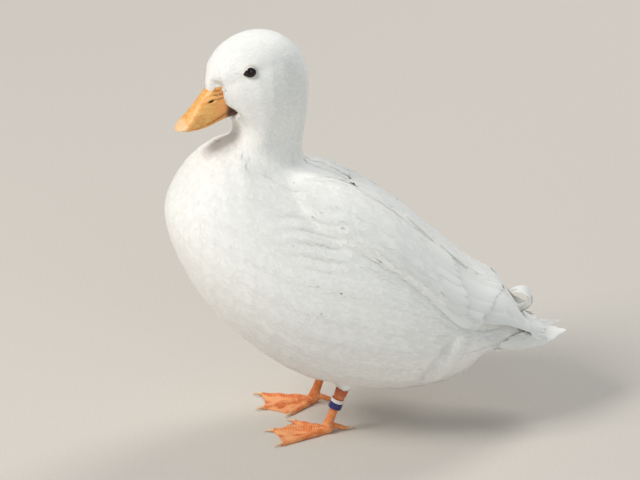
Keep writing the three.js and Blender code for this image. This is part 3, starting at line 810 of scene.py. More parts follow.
shaft = Vector((HEEL - ANKLE) * MM).normalized()
for name, node, low_end, high_end, dark, light, slot in LEG_RINGS:
    deselect()
    height = (high_end - low_end) * MM
    bpy.ops.mesh.primitive_cylinder_add(
        vertices=96, radius=RING_INSIDE, depth=height, end_fill_type="NOTHING", location=(0, 0, 0),
    )
    band = bpy.context.object
    band.name = name
    bpy.ops.object.mode_set(mode="EDIT")
    bpy.ops.mesh.select_all(action="DESELECT")
    bpy.ops.object.mode_set(mode="OBJECT")
    band.data.polygons[0].select = True
    bpy.ops.object.mode_set(mode="EDIT")
    bpy.ops.mesh.select_mode(type="FACE")
    bpy.ops.mesh.delete(type="ONLY_FACE")
    bpy.ops.mesh.select_all(action="SELECT")
    bpy.ops.mesh.subdivide(number_cuts=2)
    bpy.ops.object.mode_set(mode="OBJECT")
    apply_modifier(band, "SOLIDIFY", thickness=RING_WALL, offset=1)
    apply_modifier(
        band, "BEVEL", width=RING_ROUNDING, segments=3, limit_method="ANGLE", angle_limit=math.radians(50),
    )
    ankle = Vector(ANKLE * MM) + Vector((0, -0.2 * MM, 0))
    middle = ankle + shaft * (low_end + high_end) / 2 * MM
    band.data.transform(Matrix.Translation(middle) @ turn_to(shaft, Vector((1, 0.4, 0))))
    band.data.shade_smooth()
    plastic, paint, link = finish_of(name + "_plastic", Roughness=0.3, Coat_Weight=0.3, Coat_Roughness=0.15)
    scuffs = paint.noise(800.0, 5.0)
    link(
        Base_Color=scuffs.over(0.35, 0.7).mix(rgb(*dark), rgb(*light)),
        Roughness=0.24 + scuffs * 0.3,
        Normal=scuffs.bump(strength=0.12, distance=0.0002),
    )
    dress(band, plastic)
    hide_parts(node)

# ---------- small feathers ----------
# Soft white contour feathers over the whole body, thin and overlapping, each lying back along the skin with
# its tip on the ones behind it. They are shortest round the bill and eyes and longest on the back.

# Where and how the coat lies, on a bird that looks straight ahead: millimetres, then a direction.
LIE = np.array([
    (0, -110, 250, 0, 0.25, 0.97), (0, -105, 262, 0, 0.45, 0.9), (0, -95, 275, 0, 0.85, 0.5),
    (0, -72, 281, 0, 1, 0), (0, -48, 272, 0, 0.75, -0.66), (0, -40, 250, 0, 0.25, -0.97),
    (0, -40, 225, 0, 0.05, -1), (0, -43, 200, 0, 0.25, -0.97), (10, -98, 243, 0.3, 0.9, 0.1),
    (24, -86, 261, 0.1, 1, 0.12), (24, -88, 240, 0.15, 0.93, -0.33), (28, -65, 238, 0, 0.75, -0.66),
    (12, -94, 228, 0.3, 0.85, -0.42), (0, -92, 222, 0, 0.75, -0.66), (0, -92, 213, 0, 0.1, -1),
    (22, -70, 208, 0, 0.25, -0.97), (0, -95, 206, 0, -0.45, -0.9), (0, -112, 195, 0, -0.4, -0.92),
    (0, -134, 158, 0, 0, -1), (50, -85, 165, 0.2, 0.25, -0.95), (0, -118, 112, 0, 0.5, -0.87),
    (55, -95, 130, 0.2, 0.65, -0.73), (0, -66, 52, 0, 0.95, -0.3), (0, -10, 28, 0, 1, 0.02),
    (0, 50, 30, 0, 0.97, 0.2), (0, 85, 46, 0, 1, 0.15), (68, -50, 105, 0, 0.85, -0.52),
    (70, -5, 90, 0, 0.95, -0.3), (55, 50, 65, -0.15, 0.98, -0.1), (50, -50, 180, 0.1, 0.65, -0.75),
    (0, -50, 192, 0, 0.95, -0.3), (0, 0, 168, 0, 0.86, -0.5), (0, 60, 115, 0, 0.8, -0.6),
    (0, 100, 72, 0, 0.85, -0.5), (60, 40, 110, -0.1, 0.85, -0.52), (25, 105, 55, -0.1, 0.99, -0.05),
])


def unit(vectors):
    return vectors / np.maximum(np.linalg.norm(vectors, axis=-1, keepdims=True), 1e-9)


def lie_at(places):
    """The way feathers point at some places."""
    angles = HEAD_TURN * share_of_turn(places)
    side = np.where(turned(places, AXIS, -angles)[:, 0] < 0, -1, 1)
    gap = ((straightened(places)[:, None, :] - LIE[None, :, :3]) ** 2).sum(2)
    way = (1 / (gap + 64) ** 2) @ LIE[:, 3:]
    way[:, 0] *= side
    return unit(turned(way, np.zeros(3), angles))


def tree_of(mesh):
    """A piece's surface, for lines to be cast at."""
    return BVHTree.FromPolygons(coordinates(mesh).tolist(), [face.vertices[:] for face in mesh.polygons])


def evened(grid, times, both=True):
    """Draws the values of a grid towards their neighbours', but for those at its edges."""
    for _ in range(times):
        grid[1:-1] = (grid[:-2] + 2 * grid[1:-1] + grid[2:]) / 4
        if both:
            grid[:, 1:-1] = (grid[:, :-2] + 2 * grid[:, 1:-1] + grid[:, 2:]) / 4


def between(grid, rows, lanes):
    """Values between those of a grid, at fractional rows and lanes."""
    rows = np.clip(rows, 0, grid.shape[0] - 1.001)
    lanes = np.clip(lanes, 0, grid.shape[1] - 1.001)
    a, b = rows.astype(int), lanes.astype(int)
    u, v = rows - a, lanes - b
    if grid.ndim > 2:
        u, v = u[..., None], v[..., None]
    low = grid[a, b] * (1 - v) + grid[a, b + 1] * v
    return low * (1 - u) + (grid[a + 1, b] * (1 - v) + grid[a + 1, b + 1] * v) * u


# The folded left wing's outside, as a sheet of places: rows from its front to its tip, lanes from below up.
wing_form = cast_of("wing_form", ["wing_left", "primaries_left"], grain=0.7 * MM, smoothing=4)
wing_tree = tree_of(wing_form.data)
bpy.data.objects.remove(wing_form)
SHEET_ROWS = np.linspace(-52, 117, 86)
SHEET_LANES = np.linspace(0, 1, 31)
AXIS_HEIGHT = ([-54, -18, 36, 74, 118], [105, 98, 79, 66, 50])  # of the body, along it


def wing_hit(row, angle):
    """Where a line from outside towards the body's axis meets the folded wing."""
    way = Vector((math.cos(angle), 0, math.sin(angle)))
    start = Vector((0, row, np.interp(row, *AXIS_HEIGHT))) * MM + way * 0.2
    return wing_tree.ray_cast(start, -way, 0.2)[0]


wing_edges = []
for row in SHEET_ROWS:
    met = [angle for angle in np.radians(np.arange(0, 92, 0.5)) if wing_hit(row, angle)]
    wing_edges.append((met[0], met[-1]))
wing_edges = np.array(wing_edges)
evened(wing_edges, 2, both=False)
wing_sheet = []
for row, (low, high) in zip(SHEET_ROWS, wing_edges):
    line = []
    for lane in SHEET_LANES:
        hit = wing_hit(row, low + (high - low) * (0.03 + 0.94 * lane))
        line.append(hit[:] if hit else line[-1])
    wing_sheet.append(line)
wing_sheet = np.array(wing_sheet)
evened(wing_sheet, 3)
sheet_out = unit(np.cross(np.gradient(wing_sheet, axis=0), np.gradient(wing_sheet, axis=1)))
sheet_out *= np.sign(sheet_out[..., :1])


def on_wing(rows, lanes):
    """Places on the left wing's outside and the way out of it, from millimetres along and shares across."""
    rows = (rows - SHEET_ROWS[0]) / (SHEET_ROWS[1] - SHEET_ROWS[0])
    lanes = lanes * (len(SHEET_LANES) - 1)
    return between(wing_sheet, rows, lanes), unit(between(sheet_out, rows, lanes))


def wing_share(places):
    """How far up a folded wing each place is, from 0 at its lower edge to 1, however far off the body."""
    row = places[:, 1] / MM
    angle = np.arctan2(places[:, 2] / MM - np.interp(row, *AXIS_HEIGHT), np.abs(places[:, 0]) / MM)
    low = np.interp(row, SHEET_ROWS, wing_edges[:, 0])
    high = np.interp(row, SHEET_ROWS, wing_edges[:, 1])
    return np.where((row > SHEET_ROWS[0]) & (row < SHEET_ROWS[-1]), (angle - low) / (high - low), -1)


RUFFLE_PERIOD = 7.5  # from one of the shoulder's folds to the next


def ruffle(places):
    """Where the feathers stand in folds, over the shoulder and the top of the flank, from 0 to 1."""
    plain = straightened(places)
    back, up = plain[:, 1] + 44, plain[:, 2] - 153
    return np.exp(-(back / 20) ** 2 - ((up + 0.25 * back) / 14) ** 2)


# The skin is drawn in along the wing's lower edge, behind the flank and where the belly ends under the tail,
# and stands in a few folds over the shoulder.
points = coordinates(skin.data)
back, height = straightened(points)[:, 1:].T
share = wing_share(points)
edge = np.exp(-((share + 0.01) / 0.035) ** 2) * smoothstep(back, -30, -5) * (1 - smoothstep(back, 70, 90))
below = np.exp(-((share + 0.12) / 0.07) ** 2) * smoothstep(back, -30, 0) * (1 - smoothstep(back, 45, 75))
wave = np.sin(math.tau * (height + 0.16 * back + 1.2 * np.sin(back / 7)) / RUFFLE_PERIOD)
behind_flank = back - np.interp(height, [41, 55, 67, 76], [29.4, 34.3, 40.7, 46.3])
flank_height = smoothstep(height, 38, 48) * (1 - smoothstep(height, 72, 80))
crease = np.exp(-((behind_flank / 3.6) ** 2)) - 0.5 * np.exp(-(((behind_flank - 9) / 5) ** 2))
under_tail = np.exp(-(((back - 77) / 5.5) ** 2) - ((height - 48) / 7) ** 2)
belly_end = np.exp(-(((back - 64) / 6.5) ** 2) - ((height - 40) / 8) ** 2)
relief = -1.5 * edge + 0.8 * below + 0.85 * ruffle(points) * wave - 3.8 * crease * flank_height
relief += 1.2 * belly_end - 5.5 * under_tail
reshape(skin.data, points + normals_of(skin.data) * (relief * MM)[:, None])

skin.data.calc_loop_triangles()
skin_corners = numbers_of(skin.data.loop_triangles, "vertices", 3, int)
skin_loops = numbers_of(skin.data.loop_triangles, "loops", 3, int)
skin_points = coordinates(skin.data)
for eye in eyes.values():
    beside = np.linalg.norm(skin_points - np.array(eye), axis=1) < 10 * MM
    skin_points[beside] = face_points[beside]
skin_normals = normals_of(skin.data)
skin_uvs = numbers_of(skin.data.uv_layers["OFBake"].data, "uv", 2)[skin_loops].mean(1)
skin_tree = BVHTree.FromPolygons(skin_points.tolist(), skin_corners.tolist())


def on_skin(spots):
    """The closest places on the skin, the way out of it there, and its triangles."""
    hits = [skin_tree.find_nearest(spot) for spot in spots.tolist()]
    places = np.array([hit[0][:] for hit in hits])
    triangles = np.array([hit[2] for hit in hits])
    return places, unit(skin_normals[skin_corners[triangles]].mean(1)), triangles


def feather_spacing(places):
    """Distance between feathers, in metres. The wing's coverts and the rump's feathers are the largest."""
    share = wing_share(places)
    covert = smoothstep(share, 0.0, 0.12) * smoothstep(places[:, 1], -45 * MM, 0)
    back = smoothstep(places[:, 1], -45 * MM, 20 * MM) * smoothstep(places[:, 2], 60 * MM, 90 * MM)
    return (0.21 * MM + 1.28 * coat_depth(places, 2.0, 1.1)) * (1 + 0.55 * np.maximum(covert, 0.6 * back))


TRIES = 6  # for each place that there is room for


def scattered(spacing_at, closeness):
    """Places spread evenly over the skin, as far apart as the feathers are there, with their triangles."""
    corners = skin_points[skin_corners]
    edges = corners[:, 1:] - corners[:, :1]
    area = np.linalg.norm(np.cross(edges[:, 0], edges[:, 1]), axis=1) / 2
    share = area / spacing_at(corners.mean(1)) ** 2
    tries = int(share.sum() * TRIES)
    picked = rng.choice(len(share), tries, p=share / share.sum())
    first, second = rng.random((2, tries))
    outside = first + second > 1
    first[outside], second[outside] = 1 - first[outside], 1 - second[outside]
    spots = corners[picked, 0] + edges[picked, 0] * first[:, None] + edges[picked, 1] * second[:, None]
    radius = spacing_at(spots) * closeness
    cell = 1.2 * MM
    taken = {}
    kept = []
    for index, ((x, y, z), room) in enumerate(zip(spots.tolist(), radius.tolist())):
        i, j, k = int(x // cell), int(y // cell), int(z // cell)
        near = taken.get((i, j, k), ())
        if any((x - a) ** 2 + (y - b) ** 2 + (z - c) ** 2 < room * room for a, b, c in near):
            continue
        kept.append(index)
        steps = range(-math.ceil(room / cell), math.ceil(room / cell) + 1)
        for a, b, c in itertools.product(steps, repeat=3):
            taken.setdefault((i + a, j + b, k + c), []).append((x, y, z))
    return spots[kept], picked[kept]


PATCH = 0.003  # how wide each feather's patch of the skin's unwrap is


def joined_feathers(name, centre, up, side, half, thick, camber, roots=None, lanes=7):
    """One piece of many thin closed feathers. centre, up, side: (feathers, stations, 3); half: half widths
    there; camber: how far a vane's sides hang; roots: the skin's triangles under the feathers' roots."""
    if roots is None:
        roots = on_skin(centre[:, 0])[2]
    count, stations = half.shape
    lane = np.linspace(-1, 1, lanes)
    ring_lane = np.concatenate([lane, lane[-2:0:-1]])
    under = np.concatenate([np.ones(lanes), -np.ones(lanes - 2)])
    around = len(ring_lane)
    rise = under * np.reshape(thick, (-1, 1, 1)) * 0.5 * (1 - ring_lane ** 4)
    body = slice(1, stations - 1)
    drop = camber * half[:, body, None] * ring_lane ** 2
    rings = (
        centre[:, body, None] + side[:, body, None] * (half[:, body, None] * ring_lane)[..., None]
        + up[:, body, None] * (rise - drop)[..., None]
    )
    spans = stations - 2
    per = spans * around + 2
    verts = np.concatenate([centre[:, :1], rings.reshape(count, -1, 3), centre[:, -1:]], 1)
    step = np.arange(around)
    after = (step + 1) % around
    ring = 1 + np.arange(spans - 1)[:, None] * around
    quads = np.stack([ring + step, ring + after, ring + around + after, ring + around + step], -1)
    quads = quads.reshape(-1, 4)
    last = 1 + (spans - 1) * around
    fans = np.concatenate([
        np.stack([np.zeros(around, int), 1 + after, 1 + step], 1),
        np.stack([last + step, last + after, np.full(around, per - 1)], 1),
    ])
    place_of = np.linspace(0, 1, stations)
    quad_u = np.stack([step, step + 1, step + 1, step], 1) / around
    quad_uv = np.empty((spans - 1, around, 4, 2))
    quad_uv[..., 0] = quad_u
    quad_uv[..., :2, 1] = place_of[1:-2, None, None]
    quad_uv[..., 2:, 1] = place_of[2:-1, None, None]
    fan_uv = np.empty((2, around, 3, 2))
    fan_uv[0, :, :, 0] = np.stack([step + 0.5, step + 1, step], 1) / around
    fan_uv[0, :, :, 1] = [0, place_of[1], place_of[1]]
    fan_uv[1, :, :, 0] = np.stack([step, step + 1, step + 0.5], 1) / around
    fan_uv[1, :, :, 1] = [place_of[-2], place_of[-2], 1]
    shift = (np.arange(count) * per)[:, None]
    corners = np.concatenate([(shift + quads.ravel()).ravel(), (shift + fans.ravel()).ravel()])
    quad_total = count * len(quads)
    starts = np.concatenate([np.arange(quad_total) * 4, quad_total * 4 + np.arange(count * len(fans)) * 3])
    mesh = bpy.data.meshes.new(name)
    mesh.vertices.add(count * per)
    mesh.vertices.foreach_set("co", verts.ravel())
    mesh.loops.add(len(corners))
    mesh.loops.foreach_set("vertex_index", corners.astype(np.int32))
    mesh.polygons.add(len(starts))
    mesh.polygons.foreach_set("loop_start", starts.astype(np.int32))
    mesh.update(calc_edges=True)
    mesh.shade_smooth()
    kind = np.zeros(per, int)  # bit 1 along one side edge and bit 2 along the other, both at the ends
    kind[1 + np.arange(spans) * around] = 1
    kind[lanes + np.arange(spans) * around] = 2
    kind[[0, -1]] = 3
    ends = kind[numbers_of(mesh.edges, "vertices", 2, np.int32) % per]
    mesh.attributes.new("sharp_edge", "BOOLEAN", "EDGE")
    mesh.attributes["sharp_edge"].data.foreach_set("value", (ends[:, 0] & ends[:, 1]) > 0)
    patch = np.concatenate([
        (skin_uvs[roots][:, None] + PATCH * (uv.reshape(1, -1, 2) - 0.5)).reshape(-1, 2)
        for uv in (quad_uv, fan_uv)
    ])
    mesh.uv_layers.new(name="OFBake")
    mesh.uv_layers["OFBake"].data.foreach_set("uv", np.clip(patch, 0, 1).ravel())
    along = np.concatenate([[0], np.repeat(place_of[body], around), [1]])
    over = np.concatenate([[0.5], np.tile(ring_lane * 0.5 + 0.5, spans), [0.5]])
    mesh.uv_layers.new(name="vane")
    mesh.uv_layers["vane"].data.foreach_set("uv", np.stack([over, along], 1)[corners % per].ravel())
    feathers = bpy.data.objects.new(name, mesh)
    bpy.context.scene.collection.objects.link(feathers)
    note(feathers, tone=np.repeat(rng.random(count), per))
    dress(feathers, plumage)
    return feathers


ROOT_SINK = 0.4 * MM
TURN_SPREAD = math.radians(4)
LIFT_SPREAD = 0.015


def feather_lines(spots, normals, length, stations):
    """Centre lines of feathers laid back over the skin, with the way up and across at each station."""
    turn = rng.normal(0, TURN_SPREAD, len(spots))
    lift = 1 + rng.normal(0, LIFT_SPREAD, len(spots))
    way = lie_at(spots)
    way = unit(way - normals * (way * normals).sum(1)[:, None])
    way = unit(way + np.cross(normals, way) * turn[:, None])
    stand = 1 + 0.05 * ruffle(spots) * rng.random(len(spots))
    spot, normal, last = spots, normals, 0.0
    centre, up, side = [], [], []
    for share in stations:
        if share > 0:
            spot, found, _ = on_skin(spot + way * (length * (share - last))[:, None])
            normal = unit(normal * 0.4 + found * 0.6)
            way = unit(way * 0.75 + 0.25 * lie_at(spot))
            way = unit(way - normal * (way * normal).sum(1)[:, None])
        last = share
        reach = coat_depth(spot) * lift * stand * (0.95 + 0.05 * share) * (1 - (1 - share) ** 4.0)
        reach -= ROOT_SINK * (1 - share) ** 4
        centre.append(spot + normal * reach[:, None])
        up.append(normal)
        side.append(np.cross(way, normal))
    return np.stack(centre, 1), np.stack(up, 1), np.stack(side, 1)


plumage, paint, link = finish_of(
    "plumage", Roughness=0.6, Specular_IOR_Level=0.3, Sheen_Weight=0.15, Sheen_Roughness=0.4,
)
vane = paint.node("ShaderNodeUVMap", {"uv_map": "vane"})
across = paint.node("ShaderNodeSeparateXYZ", inputs={"Vector": vane}, output=0)
along = paint.node("ShaderNodeSeparateXYZ", inputs={"Vector": vane}, output=1)
off_shaft = (across - 0.5).maths("ABSOLUTE")
barbs = ((along * 26.0 - off_shaft * 14.0) * math.tau).maths("SINE") * 0.5 + 0.5
white = paint.noted("tone").mix(rgb(0.945, 0.94, 0.925), rgb(0.985, 0.98, 0.965))
# Each vane is greyer towards its root: partly the down's own grey, partly painted shade under the feathers
# that overlap it.
white = (along.over(0.75, 0.1) * 0.5).mix(white, rgb(0.88, 0.87, 0.85))
link(Base_Color=white, Normal=barbs.bump(strength=0.12, distance=0.0002))

# Stations along a feather, its outline there, and half its width, in feather spacings.
LONG = np.array([0, 0.12, 0.42, 0.72, 0.89, 0.97, 1]), np.array([0, 0.5, 0.95, 1, 0.8, 0.42, 0]), 0.9
SHORT = np.array([0, 0.15, 0.5, 0.8, 0.94, 1]), np.array([0, 0.6, 1, 0.92, 0.55, 0]), 0.72
LENGTH = 4.5  # in feather spacings
LENGTH_SPREAD = 0.08
CLOSENESS = 0.53

spots, triangles = scattered(feather_spacing, CLOSENESS)
normals = unit(skin_normals[skin_corners[triangles]].mean(1))
plain = straightened(spots)

# No feather roots, bends or ends within about 4 mm of an eye's axis, and none roots under the wing's long
# feathers.
free = np.ones(len(spots), bool)
tips = spots + lie_at(spots) * feather_spacing(spots)[:, None] * 3.6
for side_name, sign in SIDES:
    for place, room in ((spots, 4.1), ((spots + tips) / 2, 3.9), (tips, 3.95)):
        offset = place - np.array(eyes[side_name])
        axis = np.array(eye_axis(sign))
        out = offset @ axis
        radial = np.linalg.norm(offset - np.outer(out, axis), axis=1)
        free &= (radial > room * MM) | (out < 0)
share = wing_share(spots)
free &= ~((share > 0.03) & (share < 0.97) & (spots[:, 1] > 29 * MM - 6 * MM * share))
spots, triangles, normals, plain = spots[free], triangles[free], normals[free], plain[free]
left = spots[:, 0] > 0
on_head = plain[:, 2] > 205
face = on_head & (feather_spacing(spots) < 1.25 * MM)
low = plain[:, 2] < 72
front = plain[:, 1] < -62
above = plain[:, 2] > 150 - 0.55 * (plain[:, 1] + 40)
body = ~on_head & ~front
REGIONS = [
    ("face_feathers", face, SHORT),
    ("head_feathers", on_head & ~face & (plain[:, 2] > 235), SHORT),
    ("neck_feathers", on_head & ~face & (plain[:, 2] <= 235), SHORT),
    ("crop_feathers", ~on_head & front & (plain[:, 2] > 150), LONG),
    ("breast_feathers", ~on_head & front & (plain[:, 2] <= 150), LONG),
    ("back_feathers", body & above, LONG),
    ("belly_feathers", body & ~above & low & (plain[:, 1] < 5), LONG),
    ("rear_belly_feathers", body & ~above & low & (plain[:, 1] >= 5), LONG),
    ("left_flank_feathers", body & ~above & ~low & left, LONG),
    ("right_flank_feathers", body & ~above & ~low & ~left, LONG),
]
for name, here, (stations, outline, wide) in REGIONS:
    spacing = feather_spacing(spots[here])
    length = spacing * LENGTH * (1 + rng.normal(0, LENGTH_SPREAD, here.sum()))
    length *= 1 - 0.3 * ruffle(spots[here])
    centre, up, side = feather_lines(spots[here], normals[here], length, stations)
    thick = np.minimum(0.06 * MM, 0.03 * spacing)
    half = spacing[:, None] * wide * outline
    joined_feathers(name, centre, up, side, half, thick, camber=0.035, roots=triangles[here], lanes=3)

# ---------- wing feathers ----------
# Over each folded wing lie the coverts and the long secondaries and tertials, and behind them the primaries,
# which close over the rump. They are stiff white vanes on a shaft, each laid over the one below it.

QUILL_STATIONS = np.array([0, 0.06, 0.2, 0.36, 0.52, 0.67, 0.8, 0.9, 0.965, 1])
QUILL_THICKNESS = 0.45 * MM
QUILL_OUTLINE = np.array([0, 0.42, 0.72, 0.88, 0.97, 1, 0.95, 0.78, 0.48, 0])
WING_ROLL = 0.05  # how far each feather is rolled to lie over the one below it


def framed(centre, up):
    """The way up and across at each station of some feathers, square to their lines, and the way along."""
    way = unit(np.gradient(centre, axis=1))
    side = unit(np.cross(way, up))
    return np.cross(side, way), side, way


def wing_row(name, roots, tips, half, stack, sign, sink):
    """Long feathers over a folded wing. roots and tips: millimetres along and share across, for each one;
    stack: how high each one's tip lies; sink: how deep the roots are."""
    t = QUILL_STATIONS[None]
    along = roots[:, :1] + (tips[:, :1] - roots[:, :1]) * t
    share = roots[:, 1:] + (tips[:, 1:] - roots[:, 1:]) * t ** 1.2
    places, up = on_wing(along, share)
    height = -sink * (1 - t) ** 2.2 + 0.15 + stack[:, None] * (0.35 + 0.65 * t)
    centre = places + up * (height * MM)[..., None]
    if sign < 0:
        centre, up = centre * [-1, 1, 1], up * [-1, 1, 1]
    up, side, way = framed(centre, up)
    side = unit(side + up * WING_ROLL * sign)
    widths = half[:, None] * QUILL_OUTLINE * MM
    return joined_feathers(name, centre, np.cross(side, way), side, widths, QUILL_THICKNESS, camber=0.1)


quills = []
for side_name, sign in SIDES:
    share = np.linspace(0.99, 0.03, 11)
    root = np.stack([22 + 6 * (1 - share) + rng.normal(0, 1.0, 11), share], 1)
    tip = np.stack([root[:, 0] + 33 + rng.normal(0, 1.2, 11), share - 0.02], 1)
    half, stack = np.full(11, 5.6), 0.5 + 0.25 * share
    quills.append(wing_row(side_name + "_coverts", root, tip, half, stack, sign, sink=2.6))

    share = np.linspace(0.96, 0.02, 12)
    root = np.stack([34 + 8 * (1 - share) + rng.normal(0, 0.8, 12), share], 1)
    tip = np.stack([86 + 8 * share - 17 * (1 - share) ** 2 + rng.normal(0, 1.0, 12), 0.07 + share * 0.9], 1)
    half, stack = 5.2 + 1.6 * share, 0.1 + 0.25 * share
    quills.append(wing_row(side_name + "_secondaries", root, tip, half, stack, sign, sink=2.0))

    share = np.linspace(0.92, 0.08, 9)
    root = np.stack([58 + 3 * (1 - share), share * 0.9 + 0.02], 1)
    tip = np.stack([91 + 3.25 * np.arange(9), 0.1 + 0.72 * share], 1)
    half, stack = np.full(9, 4.4), -0.3 + 0.15 * share
    quills.append(wing_row(side_name + "_primaries", root, tip, half, stack, sign, sink=1.2))
    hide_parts("primaries_" + side_name)

# Between the wings, rows of long soft feathers cover the middle of the back, on the wings' upper edges.
OVER_SKIN = 1.9  # how far the back's feathers lie off the skin, where there is no wing below them
below_trees = [(skin_tree, OVER_SKIN)] + [(tree_of(piece.data), 0.0) for piece in quills]
BACK_X = np.linspace(-26, 26, 27)
BACK_Y = np.linspace(-10, 118, 65)
back_height = np.zeros((len(BACK_Y), len(BACK_X)))
for i, y in enumerate(BACK_Y):
    for j, x in enumerate(BACK_X):
        spot = Vector((x, y, 260)) * MM
        hits = [(tree.ray_cast(spot, Vector((0, 0, -1)))[0], rise) for tree, rise in below_trees]
        heights = [hit.z / MM + rise for hit, rise in hits if hit]
        back_height[i, j] = max(heights, default=back_height[i - 1, j])

# Where the back lies in a hollow between the wings, the feathers bridge it.
bridge = back_height.copy()
for a in range(len(BACK_X)):
    for b in range(a + 2, len(BACK_X)):
        share = (np.arange(a + 1, b) - a) / (b - a)
        straight = back_height[:, a:a + 1] * (1 - share) + back_height[:, b:b + 1] * share
        bridge[:, a + 1:b] = np.maximum(bridge[:, a + 1:b], straight)
back_height += (bridge - back_height) * (1 - smoothstep(BACK_Y, 100, 112))[:, None]
evened(back_height, 4)


def on_back(x, y):
    """Height of the back over the folded wings' upper edges, in millimetres."""
    row, lane = (y - BACK_Y[0]) / (BACK_Y[1] - BACK_Y[0]), (x - BACK_X[0]) / (BACK_X[1] - BACK_X[0])
    return between(back_height, row, lane)


BACK_ROWS = np.arange(-14, 90, 3.6)
BACK_LANES = np.linspace(-17, 17, 7)
BACK_FEATHER = {"long": 20, "half": 4.4, "thick": 0.22, "sink": 1.7, "lift": 0.45}
starts, lengths = [], []
for index, row in enumerate(BACK_ROWS):
    for lane in BACK_LANES:
        narrow = 1 - 0.12 * smoothstep(row, 40, 88) - 0.25 * (1 - smoothstep(row, -14, 22))
        across = (lane + (2.8 if index % 2 else 0) - 1.4) * narrow + rng.normal(0, 1.2)
        starts.append((across, row + 0.3 * abs(across) + rng.normal(0, 1.2)))
        lengths.append(BACK_FEATHER["long"] - 4 * smoothstep(row, 60, 86) + rng.normal(0, 0.8))
starts = np.array(starts)
t = QUILL_STATIONS[None]
x = starts[:, :1] * (1 - 0.05 * t)
y = starts[:, 1:] + np.array(lengths)[:, None] * t
z = on_back(x, y) - BACK_FEATHER["sink"] * (1 - t) ** 2.5 + 0.05 + BACK_FEATHER["lift"] * t
slope = (on_back(x + 3, y) - on_back(x - 3, y)) / 6
centre = np.stack([x, y, z], -1) * MM
up, side, way = framed(centre, unit(np.stack([-slope, 0 * x, np.ones_like(x)], -1)))
half = np.tile(QUILL_OUTLINE * BACK_FEATHER["half"] * MM, (len(x), 1))
joined_feathers("middle_back_feathers", centre, up, side, half, BACK_FEATHER["thick"] * MM, camber=0.3)

# ---------- tail ----------
# A low fan of stiff white quills, the middle pair longest and on top, with pointed tips. Rows of coverts
# leave the rump above them, below them and at their sides, and close over their roots.

TAIL_QUILLS = 14
TAIL_OUTLINE = np.array([0, 0.42, 0.72, 0.9, 1, 1, 0.92, 0.72, 0.42, 0])
TAIL_SHEET = ([80, 96, 118, 136], [55.6, 55.2, 55.6, 56.0])  # places along, and the fan's height there
TAIL_ROOT = 84
TAIL_HALF = 4.9
TAIL_ROLL = 0.09
TAIL_TIPS_BACK = np.array([131.5, 137, 135.5, 130, 127, 123.5, 119.5])  # from the middle pair out
TAIL_TIPS_ASIDE = np.array([4.2, 8.8, 10.0, 13.6, 16.8, 19.4, 21.6])


def on_tail(x, y):
    """Height of the tail's fan, in millimetres."""
    return np.interp(y, *TAIL_SHEET) - 2.2 * (x / 25) ** 2


t = QUILL_STATIONS[None]
off_middle = np.arange(TAIL_QUILLS) - (TAIL_QUILLS - 1) / 2
pair = np.abs(off_middle).astype(int)
tip_y = TAIL_TIPS_BACK[pair] + rng.normal(0, 0.3, TAIL_QUILLS)
tip_x = TAIL_TIPS_ASIDE[pair] * np.sign(off_middle)
x = tip_x[:, None] * (0.45 + 0.55 * t ** 0.9)
y = TAIL_ROOT + (tip_y[:, None] - TAIL_ROOT) * t
z = on_tail(x, y) + 0.5 - 0.3 * np.abs(off_middle)[:, None] * (0.4 + 0.6 * t)
centre = np.stack([x, y, z], -1) * MM
way = unit(np.gradient(centre, axis=1))
up = unit(np.stack([0.22 * x / 27, 0 * x, np.ones_like(x)], -1))
side = unit(np.cross(way, up))
side = unit(side + up * (TAIL_ROLL * np.sign(tip_x))[:, None, None] * -1)
up = np.cross(side, way)
half = np.tile(TAIL_OUTLINE * TAIL_HALF * MM, (TAIL_QUILLS, 1))
tail_quills = joined_feathers("tail_quills", centre, up, side, half, thick=0.5 * MM, camber=0.1)
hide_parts("tail_feathers")

COVERT_SINK = 0.6
ARRIVING = np.array([0, 1.0, -0.06])  # the way the coverts point at their tips


def swept(name, starts, ends, end_up, half):
    """Long coverts that leave the rump and lie over the tail. starts, ends, half: millimetres."""
    places, start_up, triangles = on_skin(starts * MM)
    places -= start_up * COVERT_SINK * MM
    t = QUILL_STATIONS[None, :, None]
    reach = np.linalg.norm(ends * MM - places, axis=1)[:, None, None]
    leave = unit(lie_at(places))[:, None]
    rise = start_up[:, None] * 0.35
    ahead = (leave + rise) * reach
    centre = (
        places[:, None] * (2 * t ** 3 - 3 * t ** 2 + 1) + ahead * (t ** 3 - 2 * t ** 2 + t)
        + (ends * MM)[:, None] * (3 * t ** 2 - 2 * t ** 3) + ARRIVING * reach * (t ** 3 - t ** 2)
    )
    up, side, way = framed(centre, unit(start_up[:, None] * (1 - t) + end_up[:, None] * t))
    widths = np.tile(QUILL_OUTLINE * half * MM, (len(starts), 1))
    joined_feathers(name, centre, up, side, widths, thick=0.4 * MM, camber=0.12, roots=triangles)


COVERT_ROWS = ((98, 124, 18), (90, 116, 20), (82, 108, 22))  # roots and tips back, half width
RUMP_HEIGHT = 62
for name, sign in (("upper_tail_coverts", 1), ("under_tail_coverts", -1)):
    starts, ends = [], []
    for row, (from_y, to_y, spread) in enumerate(COVERT_ROWS):
        for place in np.linspace(-1, 1, 9):
            x = spread * place + rng.normal(0, 0.5)
            y = from_y - 4 * abs(place) + rng.normal(0, 1)
            starts.append((x, y, RUMP_HEIGHT + sign * 40))
            end_x = x * (1.12 if sign > 0 else 0.85)
            end_y = to_y - 7 * place ** 2 + rng.normal(0, 1)
            lift = 1.6 + 1.1 * row if sign > 0 else 0.6 + 0.4 * row
            ends.append((end_x, end_y, on_tail(end_x, end_y) + sign * lift))
    starts, ends = np.array(starts), np.array(ends)
    for index, start in enumerate(starts):
        hit = skin_tree.ray_cast(Vector(start) * MM, Vector((0, 0, -sign)))[0]
        starts[index] = np.array(hit) / MM if hit else start
    swept(name, starts, ends, np.tile([0, 0.05, float(sign)], (len(starts), 1)), half=4.6)

